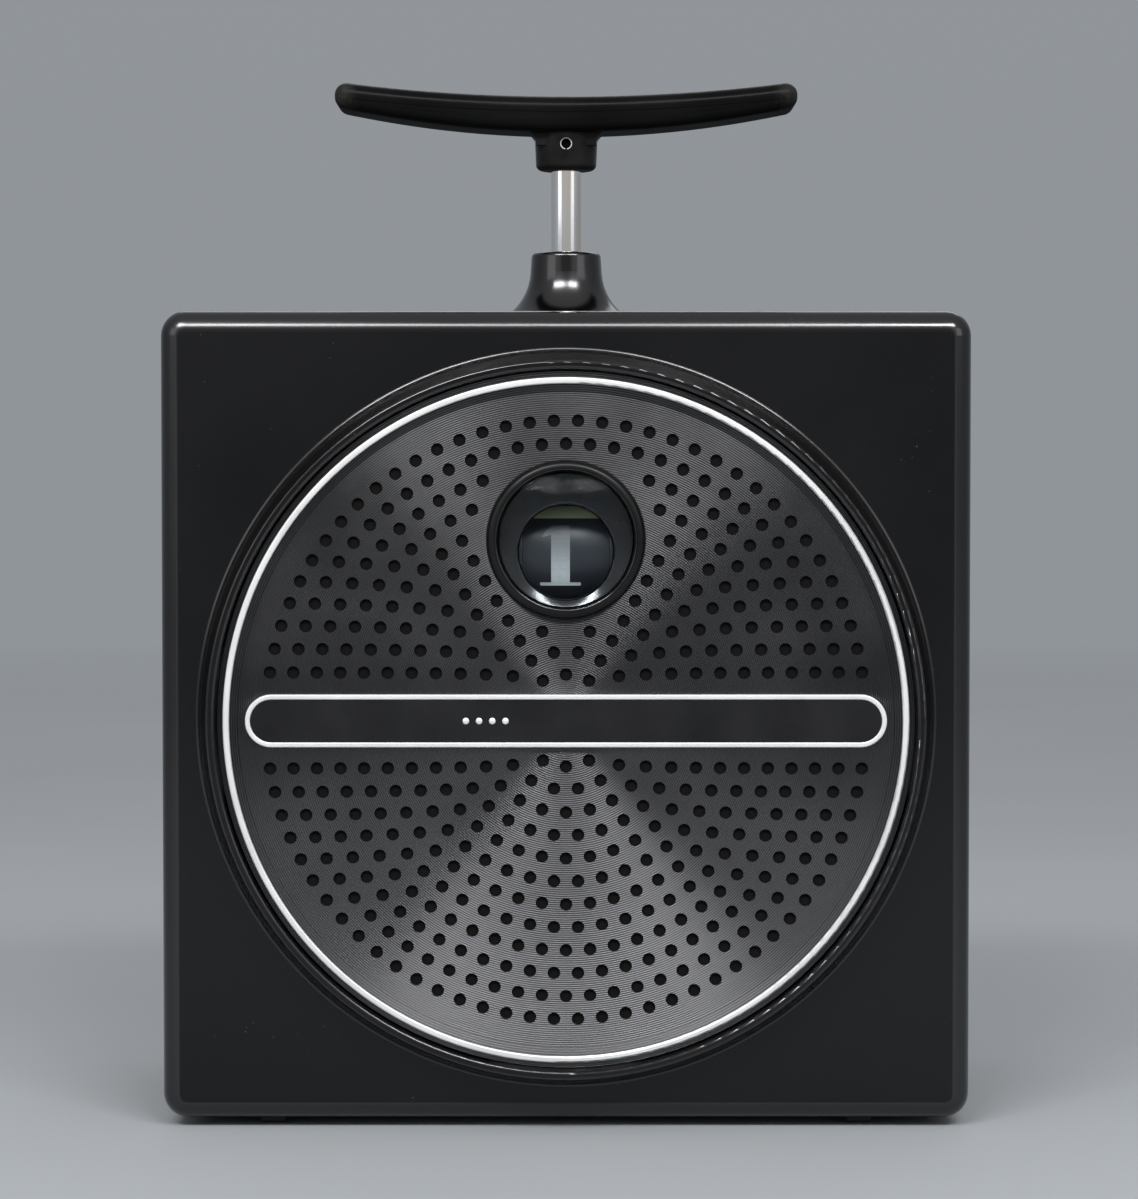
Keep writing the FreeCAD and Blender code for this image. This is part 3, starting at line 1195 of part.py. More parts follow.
def motor_pulley():
    """Flanged pulley on the motor's shaft."""
    y0 = BELT_Y - 1.2
    y1 = BELT_Y + BELT_W + 1.2
    shaft_y = CHASSIS_Y - MOTOR_SHAFT_IN
    return turned([
        (0, shaft_y), (MOTOR_SHAFT_R, shaft_y), (MOTOR_SHAFT_R, y0), (PULLEY_R + 1.6, y0),
        (PULLEY_R + 1.6, y0 + 0.8), (PULLEY_R, y0 + 0.8), (PULLEY_R, y1 - 0.8), (PULLEY_R + 1.6, y1 - 0.8),
        (PULLEY_R + 1.6, y1), (0, y1),
    ], (MOTOR_X, 0, MOTOR_Z), "y")


def flywheel():
    """Heavy rimmed flywheel with a thin web and a hub on the capstan."""
    y0 = FLYWHEEL_Y
    y1 = y0 + FLYWHEEL_W
    rim_in = FLYWHEEL_R - 6
    return turned([
        (CAPSTAN_R, y0), (CAPSTAN_R + 4, y0), (CAPSTAN_R + 4, y0 + 3), (rim_in, y0 + 3), (rim_in, y0),
        (FLYWHEEL_R, y0), (FLYWHEEL_R, y1), (rim_in, y1), (rim_in, y0 + 5), (CAPSTAN_R + 4, y0 + 5),
        (CAPSTAN_R + 4, y1 + 1), (CAPSTAN_R, y1 + 1),
    ], (CAPSTAN_X, 0, CAPSTAN_Z), "y")


def capstan_shaft():
    y0 = SLOT_Y0 + 1.5
    y1 = flywheel_bracket_y() - 0.1
    shaft = rod_y(CAPSTAN_R, CAPSTAN_X, y0, y1, CAPSTAN_Z)
    return rounded(shaft, 0.4, lambda e, m: near(m.y, y0) or near(m.y, y1))


def flywheel_bracket_y():
    return FLYWHEEL_Y + FLYWHEEL_W + 3


def capstan_bearing():
    return turned([
        (CAPSTAN_R + RUN, SLOT_Y1), (BEARING_R, SLOT_Y1), (BEARING_R, CHASSIS_BACK),
        (BEARING_R - 1.5, CHASSIS_BACK), (BEARING_R - 1.5, FLYWHEEL_Y - GAP),
        (CAPSTAN_R + RUN, FLYWHEEL_Y - GAP),
    ], (CAPSTAN_X, 0, CAPSTAN_Z), "y")


def flywheel_bracket():
    """Strap over the flywheel that takes the end of the capstan shaft."""
    half = FLYWHEEL_R + 4
    y1 = flywheel_bracket_y()
    x0, x1 = CAPSTAN_X - 6, CAPSTAN_X + 6
    strap = box(x0, x1, y1, y1 + SHEET_T, CAPSTAN_Z - half, CAPSTAN_Z + half)
    legs = [box(x0, x1, CHASSIS_BACK, y1 + SHEET_T, z, z + SHEET_T)
            for z in (CAPSTAN_Z - half, CAPSTAN_Z + half - SHEET_T)]
    feet = [box(x0, x1, CHASSIS_BACK, CHASSIS_BACK + SHEET_T, z, z + 7)
            for z in (CAPSTAN_Z - half - 7 + SHEET_T, CAPSTAN_Z + half - SHEET_T)]
    return fuse([strap] + legs + feet)


def belt_loop(r_small, r_large):
    """Wire round two circles and their outer tangents, in the X, Z plane."""
    dx, dz = MOTOR_X - CAPSTAN_X, MOTOR_Z - CAPSTAN_Z
    span = math.hypot(dx, dz)
    heading = math.atan2(dz, dx)
    lean = math.acos((r_large - r_small) / span)

    def on(cx, cz, r, angle):
        return V(cx + r * math.cos(angle), 0, cz + r * math.sin(angle))

    a = on(CAPSTAN_X, CAPSTAN_Z, r_large, heading + lean)
    b = on(MOTOR_X, MOTOR_Z, r_small, heading + lean)
    tip = on(MOTOR_X, MOTOR_Z, r_small, heading)
    c = on(MOTOR_X, MOTOR_Z, r_small, heading - lean)
    d = on(CAPSTAN_X, CAPSTAN_Z, r_large, heading - lean)
    far = on(CAPSTAN_X, CAPSTAN_Z, r_large, heading + math.pi)
    return Part.Wire([
        Part.LineSegment(a, b).toShape(),
        Part.Arc(b, tip, c).toShape(),
        Part.LineSegment(c, d).toShape(),
        Part.Arc(d, far, a).toShape(),
    ])


def drive_belt():
    clear = 0.12
    outer = Part.Face(belt_loop(PULLEY_R + clear + BELT_T, FLYWHEEL_R + clear + BELT_T))
    inner = Part.Face(belt_loop(PULLEY_R + clear, FLYWHEEL_R + clear))
    belt = outer.cut(inner).extrude(V(0, BELT_W, 0))
    belt.translate(V(0, BELT_Y, 0))
    return belt


# ---- batteries -----------------------------------------------------------------------------------
def battery_tray():
    """Open tray behind the chassis for six D cells in two rows, with a low rib between the rows."""
    y0 = TRAY_Y1 - TRAY_D - TRAY_WALL
    x = TRAY_X + TRAY_WALL
    z0, z1 = TRAY_Z - TRAY_WALL, TRAY_Z + TRAY_H + TRAY_WALL
    tray = box(-x, x, y0, TRAY_Y1, z0, z1)
    tray = tray.cut(box(-TRAY_X, TRAY_X, y0 + TRAY_WALL, TRAY_Y1 + 1, TRAY_Z, TRAY_Z + TRAY_H))
    rib_z = TRAY_Z + TRAY_H / 2
    rib = box(-TRAY_X, TRAY_X, y0 + TRAY_WALL / 2, y0 + TRAY_WALL + 4, rib_z - 0.8, rib_z + 0.8)
    return fuse([tray, rib])


def battery_contacts():
    """Two contact plates at each end of the tray, with a raised button each."""
    y = TRAY_Y1 - CELL_R
    pieces = []
    for sx in (-1, 1):
        for row in range(CELL_ROWS):
            z = TRAY_Z + CELL_R * (2 * row + 1)
            x0, x1 = sorted((sx * TRAY_X, sx * (TRAY_X - CONTACT_T)))
            half = CONTACT_W / 2
            plate = box(x0, x1, y - half, y + half, z - half, z + half)
            b0, b1 = sorted((sx * (TRAY_X - CONTACT_T), sx * (TRAY_X - CONTACT_T - CONTACT_RISE)))
            pieces.append(plate.fuse(rod_x(3.0, b0, b1, y, z)))
    return Part.makeCompound(pieces)


def battery_door():
    """Flush door in the rear cover: round lower edge between two pins, finger scoop above."""
    z0, z1 = DOOR_Z0 + GAP, DOOR_Z1 - GAP
    x = DOOR_X - GAP
    y1 = door_face_y()
    door = box(-x, x, y1 - DOOR_T, y1, z0, z1)
    door = rounded(door, 1.2, lambda e, m: runs_along(e, V(0, 1, 0)) and near(m.z, z1))
    door = rounded(door, DOOR_T / 2 - 0.02, lambda e, m: runs_along(e, V(1, 0, 0)) and near(m.z, z0))
    pins = [
        rod_x(HINGE_R, -x - HINGE_L, -x + 1, hinge_y(), hinge_z()),
        rod_x(HINGE_R, x - 1, x + HINGE_L, hinge_y(), hinge_z()),
    ]
    tab = box(-9, 9, y1 - DOOR_T - DOOR_TAB, y1 - DOOR_T + 0.5, z1 - DOOR_TAB, z1)
    door = fuse([door, tab] + pins)
    scoop = rod_x(4.5, -8, 8, y1 + 3.0, z1 - 7)
    return door.cut(scoop)


def door_face_y():
    return Y_BACK - DOOR_SINK


def hinge_y():
    return door_face_y() - DOOR_T / 2


def hinge_z():
    return DOOR_Z0 + GAP + DOOR_T / 2


# ---- circuit board -------------------------------------------------------------------------------
def board_x():
    return SIDE_X - POST_INSET - POST_R - 3 - BOARD_W


def board_y():
    return CHASSIS_BACK + BOARD_STAND


def board_standoffs():
    x0 = board_x()
    return [(x0 + dx, BOARD_Z + dz) for dx in (4, BOARD_W - 4) for dz in (4, BOARD_H - 4)]


def circuit_board():
    x0 = board_x()
    board = box(x0, x0 + BOARD_W, board_y(), board_y() + BOARD_T, BOARD_Z, BOARD_Z + BOARD_H)
    stand = [rod_y(2.5, x, CHASSIS_BACK, board_y(), z) for x, z in board_standoffs()]
    return fuse([board] + stand)


def circuit_components():
    """Smoothing capacitors, output transistors on a heat sink, and a row of small parts."""
    x0, y = board_x(), board_y() + BOARD_T
    x1 = x0 + BOARD_W
    cans_z, sink_z, coils_z, small_z = (BOARD_Z + share * BOARD_H for share in (0.8, 0.55, 0.3, 0.18))
    pieces = []
    for i, (r, length) in enumerate(((8.0, 17.0), (6.5, 15.0), (5.0, 12.0), (5.0, 12.0))):
        can = rod_y(r, x0 + 12 + 15 * i, y, y + length, cans_z)
        pieces.append(rounded(can, 0.8, lambda e, m, top=y + length: near(m.y, top)))
    pieces.append(box(x0 + 12, x1 - 10, y, y + 14, sink_z, sink_z + 2))
    for i in range(2):
        pieces.append(box(x0 + 17 + 18 * i, x0 + 27 + 18 * i, y, y + 12, sink_z - 4, sink_z))
    for i in range(6):
        pieces.append(rod_z(1.3, x0 + 12 + 8 * i, y + 1.3, coils_z - 4, coils_z + 4))
        pieces.append(rod_y(2.2, x0 + 12 + 8 * i, y, y + 5, small_z))
    return Part.makeCompound(pieces)


# ---- controls and sockets ------------------------------------------------------------------------
def slider_knob(y, z):
    """Ribbed thumb piece with the stem that runs through the slot in the recess."""
    x0 = -SIDE_X + KNOB_SINK
    x1 = RECESS_X - GAP
    knob = box(x0, x1, y - KNOB_W / 2, y + KNOB_W / 2, z - KNOB_L / 2, z + KNOB_L / 2)
    knob = rounded(knob, 1.0, lambda e, m: near(m.x, x0))
    grooves = [box(x0 - 1, x0 + 0.7, y - KNOB_W, y + KNOB_W, z + dz - 0.5, z + dz + 0.5)
               for dz in (-3.2, -1.6, 0, 1.6, 3.2)]
    stem = box(x1 - 1, RECESS_X + WALL + 4, y - STEM_W / 2, y + STEM_W / 2, z - STEM_W / 2, z + STEM_W / 2)
    return fuse([cut(knob, grooves), stem])


def slider_units():
    """Slide controls behind the recess, open in front for the stems."""
    units = []
    x0 = RECESS_X + WALL
    half = SLIDER_TRAVEL / 2 + STEM_W + 6
    inner = SLIDER_TRAVEL / 2 + STEM_W
    for y in slider_places():
        unit = box(x0, x0 + 8, y - 4.5, y + 4.5, SLIDER_Z - half, SLIDER_Z + half)
        units.append(unit.cut(box(x0 - 1, x0 + 6, y - STEM_W / 2 - GAP, y + STEM_W / 2 + GAP,
                                  SLIDER_Z - inner, SLIDER_Z + inner)))
    return Part.makeCompound(units)


def jack(y, r):
    """Square socket behind the plain hole in the left wall."""
    x0 = -SIDE_X + WALL + JACK_GAP
    x1 = x0 + JACK_L
    half = r + JACK_BODY
    body = box(x0, x1, y - half, y + half, JACK_Z - half, JACK_Z + half)
    return body.cut(rod_x(r, x0 - 1, x1 - JACK_FLOOR, y, JACK_Z))


def all_parts():
    volume_y, tone_y = slider_places()
    (ear_y, ear_r), (dc_y, dc_r) = jack_places()
    return {
        "front_cabinet": front_cabinet(),
        "rear_cover": rear_cover(),
        "cabinet_screws": cabinet_screws(),
        "rubber_feet": rubber_feet(),
        "grille_panel": grille_panel(),
        "grille_ring": grille_ring(),
        "grille_cloth": grille_cloth(),
        "label_plate": label_plate(),
        "label_trim": label_trim(),
        "lens_bezel": lens_bezel(),
        "magnifier_lens": magnifier_lens(),
        "number_drum": number_drum(),
        "drum_shaft": drum_shaft(),
        "drum_gear": drum_gear(),
        "program_cam": program_cam(),
        "drum_bracket": drum_bracket(),
        "bracket_screws": bracket_screws(),
        "plunger_rod": plunger_rod(),
        "grip_upper": grip_upper(),
        "grip_lower": grip_lower(),
        "handle_pin": handle_pin(),
        "rod_bush": rod_bush(),
        "rack_carrier": rack_carrier(),
        "plunger_spring": plunger_spring(),
        "spring_seat": spring_seat(),
        "head_lever": head_lever(),
        "lever_bracket": lever_bracket(),
        "lever_pin": lever_pin(),
        "head_carriage": head_carriage(),
        "carriage_rails": carriage_rails(),
        "tape_head": tape_head(),
        "cartridge_bay": cartridge_bay(),
        "cartridge_flap": cartridge_flap(),
        "flap_pin": flap_pin(),
        "speaker_basket": speaker_basket(),
        "speaker_magnet": speaker_magnet(),
        "speaker_cone": speaker_cone(),
        "speaker_screws": speaker_screws(),
        "chassis_plate": chassis_plate(),
        "chassis_screws": chassis_screws(),
        "motor": motor(),
        "motor_screws": motor_screws(),
        "motor_pulley": motor_pulley(),
        "flywheel": flywheel(),
        "capstan_shaft": capstan_shaft(),
        "capstan_bearing": capstan_bearing(),
        "flywheel_bracket": flywheel_bracket(),
        "drive_belt": drive_belt(),
        "battery_tray": battery_tray(),
        "battery_contacts": battery_contacts(),
        "battery_door": battery_door(),
        "circuit_board": circuit_board(),
        "circuit_components": circuit_components(),
        "volume_knob": slider_knob(volume_y, SLIDER_Z - SLIDER_TRAVEL / 2),
        "tone_knob": slider_knob(tone_y, SLIDER_Z),
        "slider_units": slider_units(),
        "earphone_socket": jack(ear_y, ear_r),
        "dc_socket": jack(dc_y, dc_r),
    }


def main():
    os.makedirs("parts", exist_ok=True)
    for name, shape in all_parts().items():
        shape.exportStep("parts/" + name + ".step")
        print(name, len(shape.Solids), shape.isValid(), round(shape.Volume, 1))


main()
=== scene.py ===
# 8 track player with a plunger handle: finishes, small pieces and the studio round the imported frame.
import math

import bmesh
import bpy
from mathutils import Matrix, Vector


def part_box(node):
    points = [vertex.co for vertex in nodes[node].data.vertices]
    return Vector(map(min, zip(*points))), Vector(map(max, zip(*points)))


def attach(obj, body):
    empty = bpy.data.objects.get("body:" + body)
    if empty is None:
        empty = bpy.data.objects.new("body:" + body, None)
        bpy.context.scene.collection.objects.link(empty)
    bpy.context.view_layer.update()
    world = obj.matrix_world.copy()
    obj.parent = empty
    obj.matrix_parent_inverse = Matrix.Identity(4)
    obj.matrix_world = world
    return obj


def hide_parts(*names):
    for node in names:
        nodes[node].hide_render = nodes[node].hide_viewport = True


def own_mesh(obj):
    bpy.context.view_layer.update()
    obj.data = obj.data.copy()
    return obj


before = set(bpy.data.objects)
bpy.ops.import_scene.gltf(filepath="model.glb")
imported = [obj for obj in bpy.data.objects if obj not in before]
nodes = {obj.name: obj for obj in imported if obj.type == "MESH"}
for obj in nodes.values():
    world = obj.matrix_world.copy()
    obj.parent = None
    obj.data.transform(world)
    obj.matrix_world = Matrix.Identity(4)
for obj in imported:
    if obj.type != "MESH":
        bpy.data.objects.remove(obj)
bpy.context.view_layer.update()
scene = bpy.context.scene

# ---- places read from the frame, in metres -----------------------------------------------------
MM = 0.001


def centre(node):
    """Middle of a node's box."""
    low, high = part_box(node)
    return (low + high) / 2


grille = centre("grille_ring")
lens = centre("magnifier_lens")
drum = centre("number_drum")
drum_r = (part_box("number_drum")[1].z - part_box("number_drum")[0].z) / 2
drum_half_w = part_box("number_drum")[1].x - drum.x
label_face_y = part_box("label_plate")[0].y
pin = centre("handle_pin")

# ---- sizes that the frame doesn't give -----------------------------------------------------------
PIN_BORE_R = 1.33 * MM
SOCKET_TOP_Z = 260.5 * MM            # foot of the crossbar, where the grip's socket starts
GRIP_WORN_X = (55.5 * MM, 59 * MM)   # from the middle: where the grip's wear starts, and is full
GROOVE_PITCH = 0.55 * MM             # turned grooves of the grille
THREAD_PITCH = 0.6 * MM              # weave of the dust cloth, two threads
LENS_DOME_R = 38 * MM                # curve of the polish that the reflections show
LENS_EDGE_R = 18.0 * MM
LENS_EDGE_HALF = 0.35 * MM           # half the thickness of the lens's bright edge
LENS_EDGE_IN = 0.75 * MM             # that edge, behind the bezel's face
RIM_R = 17.2 * MM                    # rim of the sight where it meets the lens
RIM_GAP = 0.15 * MM
RIM_DEPTH = 0.95 * MM
SIGHT_R = 12.1 * MM
LIP_FOOT_R = 94.18 * MM
LIP_SLOPE = math.radians(16)         # between the lip's side and its axis
FILLET_R = 1.1 * MM
FACE_Y = -50 * MM                    # the case's face
FLANGE_H = 1.2 * MM                  # flanges at the drum's ends, their foot below its face
FLANGE_W = 1.6 * MM
FLANGE_DROP = 0.15 * MM              # their edge below its face
SPRING_WIRE_R = 0.6 * MM
SPRING_TURNS = 6
DOT_R = 0.85 * MM                    # raised dots on the label bar
DOT_RISE = 0.35                      # their height, as a share of the radius
DOT_LEFT = -25.4                     # the first dot and the step to the next, in millimetres
DOT_PITCH = 3.35


# ---- materials ----------------------------------------------------------------------------------
class Nodes:
    """A new material with short ways to add and join its nodes."""

    def __init__(self, name):
        self.material = bpy.data.materials.new(name)
        self.material.use_nodes = True
        self.tree = self.material.node_tree
        self.shader = self.tree.nodes["Principled BSDF"]
        self.coords = self.tree.nodes.new("ShaderNodeTexCoord").outputs["Object"]

    def link(self, source, target):
        self.tree.links.new(source, target)

    def math(self, operation, a, b=0.0, clamp=False):
        node = self.tree.nodes.new("ShaderNodeMath")
        node.operation = operation
        node.use_clamp = clamp
        for socket, value in zip(node.inputs, (a, b)):
            if isinstance(value, (int, float)):
                socket.default_value = value
            else:
                self.link(value, socket)
        return node.outputs[0]

    def vector(self, operation, source, value=(0, 0, 0)):
        node = self.tree.nodes.new("ShaderNodeVectorMath")
        node.operation = operation
        self.link(source, node.inputs[0])
        node.inputs[1].default_value = value
        return node.outputs["Value" if operation == "LENGTH" else "Vector"]

    def place(self, move=(0, 0, 0), scale=(1, 1, 1)):
        """Object coordinates moved to a centre and stretched."""
        return self.vector("MULTIPLY", self.vector("SUBTRACT", self.coords, move), scale)

    def noise(self, scale, detail=3.0, stretch=(1, 1, 1)):
        node = self.tree.nodes.new("ShaderNodeTexNoise")
        node.inputs["Scale"].default_value = scale
        node.inputs["Detail"].default_value = detail
        self.link(self.place(scale=stretch), node.inputs["Vector"])
        return node.outputs["Fac"]

    def specks(self, scale, size):
        """1 on small round specks, 0 between them."""
        node = self.tree.nodes.new("ShaderNodeTexVoronoi")
        node.inputs["Scale"].default_value = scale
        self.link(self.coords, node.inputs["Vector"])
        return self.span(node.outputs["Distance"], size, size * 0.5, 0.0, 1.0)

    def span(self, source, a, b, low, high):
        """Values from a to b mapped to low to high, and held beyond them."""
        node = self.tree.nodes.new("ShaderNodeMapRange")
        node.clamp = True
        self.link(source, node.inputs["Value"])
        for key, value in zip(("From Min", "From Max", "To Min", "To Max"), (a, b, low, high)):
            node.inputs[key].default_value = value
        return node.outputs[0]

    def mix(self, factor, a, b):
        node = self.tree.nodes.new("ShaderNodeMix")
        node.data_type = "RGBA"
        self.link(factor, node.inputs["Factor"])
        for socket, value in ((node.inputs[6], a), (node.inputs[7], b)):
            if isinstance(value, tuple):
                socket.default_value = (*value, 1.0)
            else:
                self.link(value, socket)
        return node.outputs[2]

    def bump(self, height, strength, distance, below=None):
        node = self.tree.nodes.new("ShaderNodeBump")
        node.inputs["Strength"].default_value = strength
        node.inputs["Distance"].default_value = distance
        self.link(height, node.inputs["Height"])
        if below is not None:
            self.link(below, node.inputs["Normal"])
        return node.outputs[0]

    def axes(self, source):
        """X, Y and Z of a vector, by name."""
        node = self.tree.nodes.new("ShaderNodeSeparateXYZ")
        self.link(source, node.inputs[0])
        return node.outputs

    def facing(self, start, full):
        """0 to 1 as the upward part of the surface's normal goes from start to full."""
        geometry = self.tree.nodes.new("ShaderNodeNewGeometry")
        return self.span(self.axes(geometry.outputs["Normal"])["Z"], start, full, 0.0, 1.0)

    def upward(self):
        """1 on surfaces that face up, where dust settles."""
        return self.facing(0.75, 0.98)

    def curved(self):
        """0 where the surface lies square to the axes, 1 on roundings and other curves."""
        coords = self.tree.nodes.new("ShaderNodeTexCoord")
        normal = self.axes(self.vector("ABSOLUTE", coords.outputs["Normal"]))
        most = self.math("MAXIMUM", normal["X"], self.math("MAXIMUM", normal["Y"], normal["Z"]))
        return self.span(most, 0.992, 0.965, 0.0, 1.0)

    def mix_shaders(self, factor, a, b):
        """Surface a where factor is 0, and b where it is 1."""
        node = self.tree.nodes.new("ShaderNodeMixShader")
        for socket, source in zip(node.inputs, (factor, a, b)):
            self.link(source, socket)
        output = next(other for other in self.tree.nodes if other.type == "OUTPUT_MATERIAL")
        self.link(node.outputs[0], output.inputs["Surface"])

    def finish(self, colour, roughness, normal):
        for key, value in (("Base Color", colour), ("Roughness", roughness), ("Normal", normal)):
            self.link(value, self.shader.inputs[key])
        return self.material


def plain(name, dark, light, rough, grain, relief, metallic=0.0, dust=0.0, specular=0.5):
    """A surface that varies a little in colour and gloss, with a fine grain and dust on top."""
    n = Nodes(name)
    n.shader.inputs["Metallic"].default_value = metallic
    n.shader.inputs["Specular IOR Level"].default_value = specular
    wide = n.noise(grain / 14, 4.0)
    fine = n.noise(grain, 2.0)
    colour = n.mix(n.span(wide, 0.35, 0.65, 0.0, 1.0), dark, light)
    roughness = n.span(wide, 0.3, 0.7, rough[0], rough[1])
    if dust > 0:
        settled = n.math("MULTIPLY", n.upward(), n.span(fine, 0.4, 0.7, 0.2, dust), clamp=True)
        colour = n.mix(settled, colour, (0.16, 0.155, 0.145))
        roughness = n.math("ADD", roughness, n.math("MULTIPLY", settled, 0.3), clamp=True)
    return n.finish(colour, roughness, n.bump(fine, relief, 0.00008))


def case_plastic():
    """Black moulding, burnished on its curves: faint haze, dust specks, hairline scratches."""
    n = Nodes("case_plastic")
    n.shader.inputs["Specular IOR Level"].default_value = 0.36
    haze = n.noise(14.0, 5.0)
    grain = n.noise(900.0, 2.0)
    dusty = n.span(n.noise(60.0, 2.0), 0.55, 0.7, 0.0, 1.0)
    dust = n.math("MULTIPLY", n.specks(420.0, 0.09), dusty)
    cloudy = n.span(haze, 0.35, 0.65, 0.0, 1.0)
    colour = n.mix(cloudy, (0.0018, 0.0018, 0.0021), (0.003, 0.003, 0.0034))
    curved = n.curved()
    colour = n.mix(curved, colour, (0.072, 0.071, 0.073))
    n.link(curved, n.shader.inputs["Metallic"])
    colour = n.mix(n.math("MULTIPLY", dust, 0.5), colour, (0.12, 0.12, 0.115))
    settled = n.math("MULTIPLY", n.upward(), n.span(n.noise(160.0, 6.0), 0.45, 0.75, 0.03, 0.3))
    colour = n.mix(settled, colour, (0.1, 0.098, 0.092))
    roughness = n.span(haze, 0.3, 0.7, 0.13, 0.24)
    roughness = n.math("ADD", roughness, n.math("MULTIPLY", dust, 0.3), clamp=True)
    roughness = n.math("ADD", roughness, n.math("MULTIPLY", settled, 0.4), clamp=True)
    scratch_a = n.span(n.noise(70.0, 2.0, (1.0, 1.0, 24.0)), 0.7, 0.76, 0.0, 1.0)
    scratch_b = n.span(n.noise(60.0, 2.0, (26.0, 1.0, 1.0)), 0.7, 0.76, 0.0, 1.0)
    lines = n.bump(n.math("MAXIMUM", scratch_a, scratch_b), 0.06, 0.00005)
    return n.finish(colour, roughness, n.bump(grain, 0.05, 0.00006, lines))


def grille_metal():
    """Charcoal lacquer over fine turned grooves about the grille's axis, with painted shade in the
    grooves' bottoms and a painted sheen that makes it paler towards its foot.
    """
    n = Nodes("grille_metal")
    n.shader.inputs["Metallic"].default_value = 1.0
    n.shader.inputs["Anisotropic"].default_value = 0.8
    n.shader.inputs["Anisotropic Rotation"].default_value = 0.25
    tangent = n.tree.nodes.new("ShaderNodeTangent")
    tangent.direction_type = "RADIAL"
    tangent.axis = "Y"
    n.link(tangent.outputs[0], n.shader.inputs["Tangent"])
    radius = n.vector("LENGTH", n.place(move=tuple(grille), scale=(1, 0, 1)))
    wave = n.math("SINE", n.math("MULTIPLY", radius, 2 * math.pi / GROOVE_PITCH))
    tone = n.noise(40.0, 5.0)
    grain = n.noise(1500.0, 2.0)
    colour = n.mix(n.span(tone, 0.35, 0.65, 0.0, 1.0), (0.054, 0.054, 0.056), (0.078, 0.078, 0.081))
    # Painted sheen: the grille's colour lightens towards its foot.
    wear_and_painted_sheen = n.span(n.axes(n.coords)["Z"], grille.z + 10 * MM, grille.z - 80 * MM, 0.0, 1.0)
    wear_and_painted_sheen = n.math("MULTIPLY", wear_and_painted_sheen, n.span(tone, 0.35, 0.65, 0.9, 1.0))
    colour = n.mix(wear_and_painted_sheen, colour, (0.165, 0.165, 0.17))
    # Painted shade: the bottoms of the turned grooves are darkened.
    colour = n.mix(n.span(wave, -1.0, 0.2, 0.35, 0.0), colour, (0.02, 0.02, 0.02))
    roughness = n.span(grain, 0.3, 0.7, 0.36, 0.42)
    return n.finish(colour, roughness, n.bump(wave, 0.55, 0.00012, n.bump(grain, 0.12, 0.00006)))


def bright_trim():
    """Bright lacquered trim with a faint brushed grain."""
    n = Nodes("bright_trim")
    n.shader.inputs["Metallic"].default_value = 0.6
    tone = n.noise(90.0, 4.0)
    grain = n.noise(2600.0, 2.0)
    colour = n.mix(n.span(tone, 0.35, 0.65, 0.0, 1.0), (0.8, 0.8, 0.79), (0.9, 0.9, 0.89))
    return n.finish(colour, n.span(grain, 0.3, 0.7, 0.34, 0.48), n.bump(grain, 0.1, 0.00004))


def chrome():
    """Worn chrome with streaks along the rod and a warm tint where the plating is thin."""
    n = Nodes("chrome")
    n.shader.inputs["Metallic"].default_value = 1.0
    streak = n.noise(700.0, 3.0, (1.0, 1.0, 0.03))
    tint = n.noise(160.0, 2.0, (1.0, 1.0, 0.08))
    colour = n.mix(n.span(tint, 0.45, 0.65, 0.0, 1.0), (0.86, 0.86, 0.87), (0.8, 0.68, 0.52))
    return n.finish(colour, n.span(streak, 0.35, 0.7, 0.06, 0.2), n.bump(streak, 0.1, 0.00004))


def clear_lens():
    """Clear lens: what lies behind shows through it, under a glossy domed surface."""
    n = Nodes("clear_lens")
    haze = n.noise(300.0, 3.0)
    gloss = n.tree.nodes.new("ShaderNodeBsdfGlossy")
    n.link(n.span(haze, 0.3, 0.7, 0.04, 0.09), gloss.inputs["Roughness"])
    slope = n.place(move=tuple(lens), scale=(1 / LENS_DOME_R, 0, 1 / LENS_DOME_R))
    n.link(n.vector("NORMALIZE", n.vector("ADD", slope, (0, -1, 0))), gloss.inputs["Normal"])
    clear = n.tree.nodes.new("ShaderNodeBsdfTransparent")
    clear.inputs["Color"].default_value = (0.93, 0.95, 0.96, 1.0)
    fresnel = n.tree.nodes.new("ShaderNodeFresnel")
    fresnel.inputs["IOR"].default_value = 1.08
    n.tree.nodes.remove(n.shader)
    n.mix_shaders(fresnel.outputs[0], clear.outputs[0], gloss.outputs[0])
    return n.material


def roll_pin():
    """Plated pin, with painted shade: near black inside its bore."""
    n = Nodes("roll_pin")
    n.shader.inputs["Metallic"].default_value = 0.9
    radius = n.vector("LENGTH", n.place(move=tuple(pin), scale=(1, 0, 1)))
    grain = n.noise(1200.0, 2.0)
    # Painted shade: near black inside the bore, the plated colour outside it.
    outer = n.span(radius, PIN_BORE_R, PIN_BORE_R + 0.05 * MM, 0.0, 1.0)
    colour = n.mix(outer, (0.004, 0.004, 0.004), (0.72, 0.72, 0.7))
    return n.finish(colour, n.span(grain, 0.3, 0.7, 0.3, 0.5), n.bump(grain, 0.1, 0.00004))


